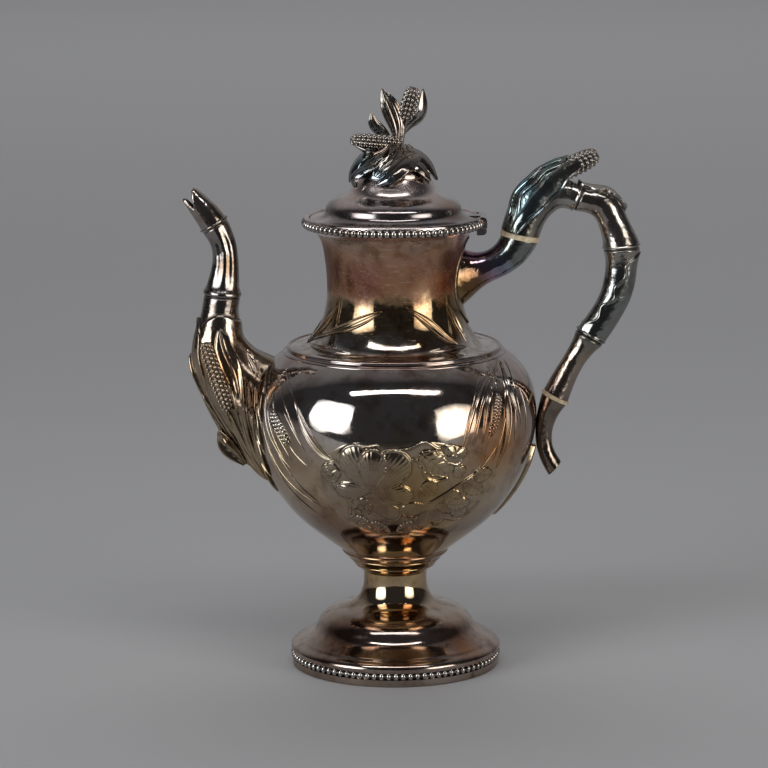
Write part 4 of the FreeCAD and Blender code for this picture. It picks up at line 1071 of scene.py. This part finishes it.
spout = {
    "root": [(-48, 121, 178, 28, 26), (-62, 126.4, 174, 29.4, 22), (-76.6, 140.4, 160, 21.4, 16.4),
             (-85.2, 152.8, 139, 16.6, 13), (-88.6, 163.4, 119, 14, 11.8), (-88, 172, 104, 11.6, 10.4),
             (-86.9, 181, 94, 9.4, 9.2), (-85.8, 187.7, 85, 9, 9)],
    "arch": 72, "archRise": 6.5, "archStep": 0.8, "folds": 9, "foldDeep": 0.55, "foldStart": 6, "foldEnd": 66,
    "cane": [(-85.8, 187.7, 85, 9, 9), (-85.2, 193, 84, 8.2, 8.2), (-83.9, 204, 90, 6.7, 6.7),
             (-84.8, 214.5, 103, 6.3, 6.3), (-89.7, 225, 121, 7.2, 7.2)],
    "jointGroove": 0.4, "jointRing": 2.4, "endRing": 0.6, "endGroove": 2.0,
    "keel": [(16, 12), (24, 20), (33, 28), (40, 34), (47, 42), (56, 54), (65, 56), (72, 40), (77, 8)],
    "keelShape": {"high": 1.2, "rim": 0.9, "edge": 0.1, "veins": 7, "wavy": 0.05},
    "keelUpper": [(14, 6), (24, 13), (36, 21), (48, 25), (58, 18), (64, 2)],
    "keelUpperShape": {"high": 2.4, "rim": 0.7, "edge": 0.14, "veins": 5, "wavy": 0.08},
    "leaves": [                                    # path, widths, height, rim and midrib
        ([(72, -92), (62, -104), (50, -106), (40, -97), (33, -78), (27, -60), (20, -42), (15, -28)],
         [0.8, 8.8, 10.8, 12.4, 9, 6, 4.5, 1], 1.5, 0.8, 0.6),
        ([(36, -116), (31.6, -102), (25.2, -80), (19.9, -61), (15.7, -40), (12, -24)],
         [1, 5, 7, 6.5, 4.5, 1], 1.7, 0.7, 0.5),
        ([(24.7, -142), (26.8, -114), (23, -86), (17.6, -59), (13, -40)], [1, 6, 7, 5.5, 1], 1.5, 0.7, 0.5),
        ([(46, -150), (38, -142), (31, -134), (27, -126)], [1, 6, 6, 1], 1.2, 0.6, 0.4),
        ([(40, -56), (32, -48), (24, -34), (17, -20), (13, -10)], [1, 5, 6, 5, 1], 1.5, 0.7, 0.5)],
    "bowlLeafShape": {"high": 1.2, "rim": 0.5, "wavy": 0.04},
    "bowlLeaves": [
        ([(-82, 155), (-75, 149), (-70, 141), (-68, 130)], [1, 5, 5, 0.8]),
        ([(-82, 143), (-75, 135), (-71, 125), (-69, 114)], [1, 5.5, 5, 0.8]),
        ([(-83, 130), (-77, 120), (-73, 110), (-70, 101)], [1, 5.5, 4.6, 0.8]),
        ([(-86, 118), (-80, 108), (-76, 100), (-74, 92)], [1, 5, 4, 0.8])],
    "ears": ((-82.6, -14.6, 132.5), (-94.2, -11.6, 166.8), 4.5, 10, 15),
    "underLeaf": ([(-79.4, 0, 105.4), (-84.4, 0, 113.2), (-89.2, 0, 123.2), (-94.8, 0, 134.4),
                   (-100, 0, 148)], [1, 8, 12, 12, 5]),
    "curl": ([(-66, 0, 98), (-74.5, 0, 103.5), (-81.5, 0, 109.6), (-86.5, 0, 115.5), (-88.4, 0, 120)],
             [3, 10, 13, 12, 4]),
    "sideCurl": ([(-75, -6, 103), (-80.5, -7.4, 108.4), (-85.4, -7.6, 114.6), (-88.4, -6, 121)],
                 [2, 8, 8.6, 1]),
    "beak": [(-88.8, 223.6, 121, 7, 7), (-92.6, 229.2, 126, 6.6, 6.4), (-97, 234.6, 130, 5.8, 5.6),
             (-102.2, 240.6, 131, 4.6, 4.4)],
    "reach": [(-1, 19.2), (-0.85, 20.2), (-0.6, 19.9), (-0.3, 18.7), (0, 17.2), (0.2, 15.6), (0.42, 13.4),
              (0.52, 12.6), (0.6, 13.4), (0.72, 16), (0.85, 18.4), (0.95, 19.4), (1, 19.6)],
    "beakWall": 2.0, "beakRim": 1.1}
rootTrack = limbTrack(spout["root"])
caneTrack = limbTrack(spout["cane"])
onRoot = limbPlace(rootTrack)


def rootArch(around):
    # the sheath of the root ends in an arched edge on each flank
    return spout["arch"] + spout["archRise"] * np.sin(around) ** 2


def rootFolds(along, around):
    # lengthwise folds that fade out at both ends
    start = ease((along - spout["foldStart"]) / 12)
    end = ease((spout["foldEnd"] - along) / 24)
    return np.cos(spout["folds"] * around), start, end


def rootSwell(along, around):
    # one step higher inside the arched edge, plus the folds
    wave, start, end = rootFolds(along, around)
    step = spout["archStep"] * ease(rootArch(around) - along)
    return step + spout["foldDeep"] * wave * start * end


def rootHollow(along, around):
    # painted shade in the furrows between the folds and under the arched edge; also darker over the end
    # towards the bowl
    wave, start, end = rootFolds(along, around)
    furrow = np.clip(-wave, 0, 1) * start * end
    return 0.35 * ease((62 - along) / 10) + 0.4 * furrow + 0.9 * bump(along, rootArch(around) + 0.3, 0.6)


def caneSwell(along, around):
    # the joint at the foot of the cane flares over a groove; a ring closes the top; folds run lengthwise
    end = caneTrack["length"]
    fromUnder = np.abs(around - np.pi)
    folds = bump(fromUnder, 1.2, 0.2) + bump(fromUnder, 1.95, 0.22)
    folds = -spout["foldDeep"] * folds * ease(along / 14) * ease((end - along) / 12)
    ring = 0.9 * bump(along, spout["jointRing"], 2.0) - 0.9 * bump(along, spout["jointGroove"], 0.45)
    close = 0.7 * bump(along, end - spout["endRing"], 0.7)
    return ring + folds + close - 0.4 * bump(along, end - spout["endGroove"], 0.4)


def caneHollow(along, around):
    # painted shade in the groove at each end
    top = caneTrack["length"] - spout["endGroove"]
    return 0.9 * bump(along, spout["jointGroove"], 0.5) + 0.7 * bump(along, top, 0.5)


def beak():
    # tube whose length goes by the cosine of the turn: a broad hood above, a notch on each flank and a tongue
    # below; the wall is one sheet out, round its rim and back inside
    track = limbTrack(spout["beak"])
    turn = fullTurn(144)[None, :]
    reach = np.interp(np.cos(turn), *np.transpose(spout["reach"]))
    out = np.linspace(0, 1, 40)[:, None]
    over = np.linspace(0, np.pi, 7)[1:-1]
    edge = np.sin(over)[:, None]
    drop = (1 - np.cos(over))[:, None] / 2
    along = np.concatenate([out * reach, reach + spout["beakRim"] * edge, out[::-1] * reach])
    wall = spout["beakWall"]
    lift = np.concatenate([0 * out, -wall * drop, np.full_like(out, -wall)]) + 0 * turn
    # the inside of the beak is painted dark, as shade in the bore
    hollow = np.concatenate([0 * out, 0 * edge, 0.8 + 0 * out]) + 0 * turn
    along = np.minimum(along, track["length"])
    return gridPart(onLimb(track, along, turn + 0 * along, lift), hollow, wrapRows=True)


leaves = [laidLeaf(onRoot, path, widths, high=high, rim=rim, rib=rib, wavy=0.05, columns=27)
          for path, widths, high, rim, rib in spout["leaves"]]
leaves = bothSides(leaves) + [sheath(rootTrack, spout["keel"], **spout["keelShape"]),
                              sheath(rootTrack, spout["keelUpper"], **spout["keelUpperShape"])]
rootTube = limb(rootTrack, rows=190, around=120, lift=rootSwell, hollow=rootHollow)
tips = bothSides(laidLeaves(onBowl, spout["bowlLeaves"], **spout["bowlLeafShape"]))
addPiece("spout_root", [outOf(vessel["bowl"], part) for part in [rootTube] + leaves] + tips, spoutSilver,
         replaces=["spout_base"])
addPiece("spout_corn", bothSides([cornEar(*spout["ears"])]), cornSilver, replaces=["spout_ears"])
curls = [freeLeaf(*spout["underLeaf"], (-1, 0, -0.6), crown=-0.2, thick=1.6, rib=0.5),
         freeLeaf(*spout["curl"], (-1, 0, -1), crown=-0.32, thick=1.8, rib=0.5)]
curls += bothSides([freeLeaf(*spout["sideCurl"], (-0.5, -1, -0.2), crown=-0.28, thick=1.5, rib=0.3)])
addPiece("spout_curl", curls, spoutSilver, replaces=["spout_leaf"])
addPiece("spout_beak", [beak()], spoutSilver, replaces=["spout_lip"])
caneTube = limb(caneTrack, rows=160, around=72, lift=caneSwell, hollow=caneHollow)
addPiece("spout_cane", [caneTube], spoutSilver, replaces=["spout_stalk"])
print("spout made")


# Handle: socket on the neck, jointed cane with husk and leaves, thumb ear, lower horn, leaf along the bowl

handle = {
    "socket": [(26, 196, 10, 17.5, 15), (34, 198.8, 12, 14, 12), (42.7, 201.4, 18, 9, 8.8),
               (51.6, 204.6, 34, 7.8, 8.2), (59, 210.6, 56, 8.6, 8.6), (62.74, 216.58, 78, 9.4, 9.4)],
    "grip": [(63.26, 219.02, 78, 9.4, 9.4), (67.2, 228.6, 62, 9.2, 8.8), (73.4, 236, 40, 9, 8.4),
             (82.4, 239.2, 4, 7.8, 7.6), (92.6, 236.6, -24, 6.9, 6.9), (103, 234.2, -38, 7.8, 7.6),
             (109.6, 223.4, -66, 7.6, 7.4), (113.4, 211.9, -84, 8.8, 8.6), (113.4, 204, -92, 7.9, 7.8),
             (112.6, 196, -97, 7.7, 7.6), (110.2, 187, -110, 7.5, 7.4), (105.8, 178.4, -118, 7.3, 7.2),
             (98.4, 167.2, -120, 7.2, 7), (92, 157.8, -121, 5.7, 5.7), (86, 147.4, -118, 5.9, 5.8),
             (81.13, 136.95, -117, 6.8, 6.8)],
    "joints": [39.5, 76.2, 125.0], "swell": [0.2, 0.5, 0.7], "jointGroove": 0.5, "jointRing": 0.7,
    "huskTrack": [(63.26, 219.02, 78, 9.8, 9.8), (66.8, 229, 62, 10.2, 9.8), (72.4, 238.4, 46, 10, 9),
                  (80, 245.6, 34, 8.4, 7.8), (90, 252, 28, 6.8, 6.6), (98, 256.2, 26, 6, 6)],
    "husk": [(0.3, 78), (5.3, 84), (9.2, 95), (17.5, 112), (28.7, 116), (34, 108), (38, 85), (41, 50),
             (43, 8)],
    "huskShape": {"high": 0.6, "rim": 0.2, "edge": 0.06, "rib": 0.5, "veins": 3, "sink": 0.9, "wavy": 0.02},
    "huskSide": ([(0.5, -66), (5.3, -73), (14, -88), (22, -94), (31, -91), (38, -82), (44, -80), (48.5, -84)],
                 [4, 6, 8.4, 9.8, 9.6, 8.2, 6, 0.8]),
    "huskSideShape": {"high": 0.7, "rim": 1.1, "rib": 0, "veins": 1, "edge": 0.14, "wavy": 0.07},
    "huskRidges": [[(1, -20), (9, -32), (15, -14), (24, -27), (29, -12), (38, -20), (44, -6)],
                   [(4, -52), (11, -60), (16, -46), (25, -55), (31, -44), (36, -49), (42, -30)]],
    "ridgeShape": {"wide": 3.0, "high": 1.5, "sink": 0.6},
    "bendLeaf": [(37, 20), (41, 42), (46, 44), (52, 40), (57, 22), (61, 3)],
    "bendShape": {"high": 1.8, "rim": 0.8, "edge": 0.12, "rib": 0.6, "wavy": 0.12},
    "caneLeaf": [(124, 150), (112, 130), (104, 116), (97, 106), (92, 90), (84, 74), (79, 10)],
    "caneShape": {"high": 0.7, "rim": 0.7, "edge": 0.06, "veins": 5, "wavy": 0.1},
    "ear": ((78, 0, 247.2), (101.4, 0, 258.4), 5.6, 11, 10),
    "horn": [(80.27, 135.25, -117, 6.8, 6.8), (76.8, 127, -104, 5.2, 5.1), (75, 117, -92, 4.2, 4.2),
             (76.3, 108, -74, 4.1, 4.1), (80.6, 99.6, -42, 4.7, 4.6)],
    "escutcheon": ([(90, 218), (90, 208), (90, 196), (90, 184), (90, 174)], [8, 26, 33, 27, 4]),
    "mount": ([(90, 112), (90, 101.6), (90, 88.6), (90, 76)], [6, 13, 12, 0.8])}
socketTrack = limbTrack(handle["socket"])
gripTrack = limbTrack(handle["grip"], 1200)
huskTrack = limbTrack(handle["huskTrack"])
hornTrack = limbTrack(handle["horn"])
onHusk = limbPlace(huskTrack)


def gripSwell(along, around):
    # each cane joint: a slow swelling, a thin ring and a groove under it
    lift = 0 * along
    for joint, swell in zip(handle["joints"], handle["swell"]):
        lift = lift + swell * bump(along, joint, 3.2) + 0.45 * bump(along, joint - handle["jointRing"], 0.5)
        lift = lift - 0.7 * bump(along, joint + handle["jointGroove"], 0.45)
    return lift


def gripHollow(along, around):
    # painted shade in the groove of each joint
    return sum(bump(along, joint + handle["jointGroove"], 0.5) for joint in handle["joints"])


escutcheon = laidLeaf(onNeck, *handle["escutcheon"], rib=0, edge=0.08, columns=33)
socket = outOf(vessel["neck"], limb(socketTrack, rows=120, around=72))
addPiece("handle_socket_upper", [socket, escutcheon], socketSilver, replaces=["handle_upper_socket"])
grip = limb(gripTrack, rows=700, around=56, lift=gripSwell, hollow=gripHollow)
addPiece("handle_cane", [grip, sheath(gripTrack, handle["caneLeaf"], **handle["caneShape"])], handleSilver,
         replaces=["handle_grip"])
huskWrap = sheath(huskTrack, handle["husk"], **handle["huskShape"])
huskSide = laidLeaf(onHusk, *handle["huskSide"], columns=41, rows=90, **handle["huskSideShape"])
huskRidges = [laidRidge(onHusk, path, **handle["ridgeShape"]) for path in handle["huskRidges"]]
addPiece("handle_husk_leaf", [huskWrap] + bothSides([huskSide]) + bothSides(huskRidges), huskSilver,
         replaces=["handle_husk"])
addPiece("handle_leaf_bend", [sheath(gripTrack, handle["bendLeaf"], **handle["bendShape"])], handleSilver,
         replaces=["handle_bend_leaf"])
horn = limb(hornTrack, rows=100, around=48)
addPiece("handle_socket_lower", [horn], handleSilver, replaces=["handle_lower_socket"])
addPiece("handle_thumb_ear", [cornEar(*handle["ear"])], cornSilver, replaces=["handle_ear"])
bowlLeaf = laidLeaf(onBowl, *handle["mount"], high=2.6, rib=0.6, edge=0.3)
addPiece("handle_leaf_bowl", [bowlLeaf], spoutSilver, replaces=["handle_leaf_mount"])
print("handle made")


# Nodes shown as they are, with a finer finish

kept = {"hinge_bracket": lidSilver, "lid_knuckle": lidSilver, "hinge_pin": brass, "finial_stud": brass,
        "finial_washer": brass, "finial_nut": brass, "handle_pins": brass, "handle_upper_insulator": bone,
        "handle_lower_insulator": bone}
for node, finish in kept.items():
    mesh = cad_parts[node].data
    mesh.materials.clear()
    mesh.materials.append(finish)


# Stage, in metres; a box is name, place, target, width, height, power, tone, spread and if silver shows it

potMiddle = (0, 0, 0.14)
white = (1, 1, 1)
stage = {
    "floor": (0.37, 0.37, 0.38), "floorRough": 0.7, "floorShine": 0.15, "floorHalf": 15.0, "floorEdge": -0.40,
    "skyShares": (0.48, 1.0), "skyTones": [(0.035, 0.035, 0.038), (0.31, 0.31, 0.315)], "skyLean": 0.65,
    "cameraAt": (-0.00517, -1.675, 0.461), "pitch": 79.25, "roll": -0.3, "lens": 159.3, "sensor": 36,
    "boxes": [
        ("left_box", (-1.52, -1.17, 0.55), potMiddle, 1.27, 1.45, 3.3, (0.95, 0.98, 1.0), 50, True),
        ("right_box", (1.52, -1.27, 0.32), potMiddle, 1.17, 1.75, 2.9, (1.0, 0.95, 0.86), 50, True),
        ("top_strip", (0, -0.62, 1.2), potMiddle, 1.35, 0.16, 4.2, white, 180, True),
        ("fill", (0, -1.5, 2.2), potMiddle, 2.5, 2.5, 10, white, 180, False),     # lights the near floor
        ("back_wash", (0, 3.5, 3.2), (0, 3.0, 0), 6, 4, 90, white, 180, False)]}  # keeps the far floor pale


def stagePlate(name, near, far, finish):
    # a strip of floor across the stage
    half = stage["floorHalf"]
    mesh = bpy.data.meshes.new(name)
    mesh.from_pydata([(-half, near, 0), (half, near, 0), (half, far, 0), (-half, far, 0)], [], [(0, 1, 2, 3)])
    mesh.materials.append(finish)
    plate = bpy.data.objects.new(name, mesh)
    bpy.context.scene.collection.objects.link(plate)
    return plate


def softBox(name, place, target, width, height, power, tone, spread, seen):
    # a narrow spread dims the box towards its edges
    lamp = bpy.data.lights.new(name, "AREA")
    lamp.shape = "RECTANGLE"
    lamp.size = width
    lamp.size_y = height
    lamp.energy = power
    lamp.color = tone
    lamp.spread = math.radians(spread)
    box = bpy.data.objects.new(name, lamp)
    bpy.context.scene.collection.objects.link(box)
    box.location = place
    box.rotation_euler = (Vector(target) - Vector(place)).to_track_quat("-Z", "Y").to_euler()
    box.visible_camera = False
    box.visible_glossy = seen


floorPaint, paintInputs, _ = newFinish("floor_paint")
paintInputs["Roughness"].default_value = stage["floorRough"]
paintInputs["Specular IOR Level"].default_value = stage["floorShine"]
paintInputs["Base Color"].default_value = (*stage["floor"], 1)
stagePlate("floor", stage["floorEdge"], stage["floorHalf"], floorPaint)
front = stagePlate("floor_front", -stage["floorHalf"], stage["floorEdge"], floorPaint)
front.visible_glossy = False                       # the silver sees past the near edge of the table
front.visible_shadow = False

world = bpy.data.worlds.new("studio")              # dim in front, grey above and behind the pot
bpy.context.scene.world = world
world.use_nodes = True
skyNodes = world.node_tree.nodes
sky = nodeKit(world.node_tree, skyNodes.new("ShaderNodeTexCoord").outputs["Generated"])
upAndBack = sky.calc("MULTIPLY_ADD", sky.axis("Z"), stage["skyLean"], sky.axis("Y"))
sky.join(sky.ramp(upAndBack, stage["skyShares"], stage["skyTones"]), skyNodes["Background"].inputs["Color"])
for box in stage["boxes"]:
    softBox(*box)

camera = bpy.data.objects.new("camera", bpy.data.cameras.new("camera"))
bpy.context.scene.collection.objects.link(camera)
camera.location = stage["cameraAt"]
turnUp = Matrix.Rotation(math.radians(stage["pitch"]), 3, "X")
camera.rotation_euler = (turnUp @ Matrix.Rotation(math.radians(stage["roll"]), 3, "Z")).to_euler()
camera.data.lens = stage["lens"]
camera.data.sensor_width = stage["sensor"]
bpy.context.scene.camera = camera
bpy.context.scene.view_settings.view_transform = "Standard"
print("stage set")
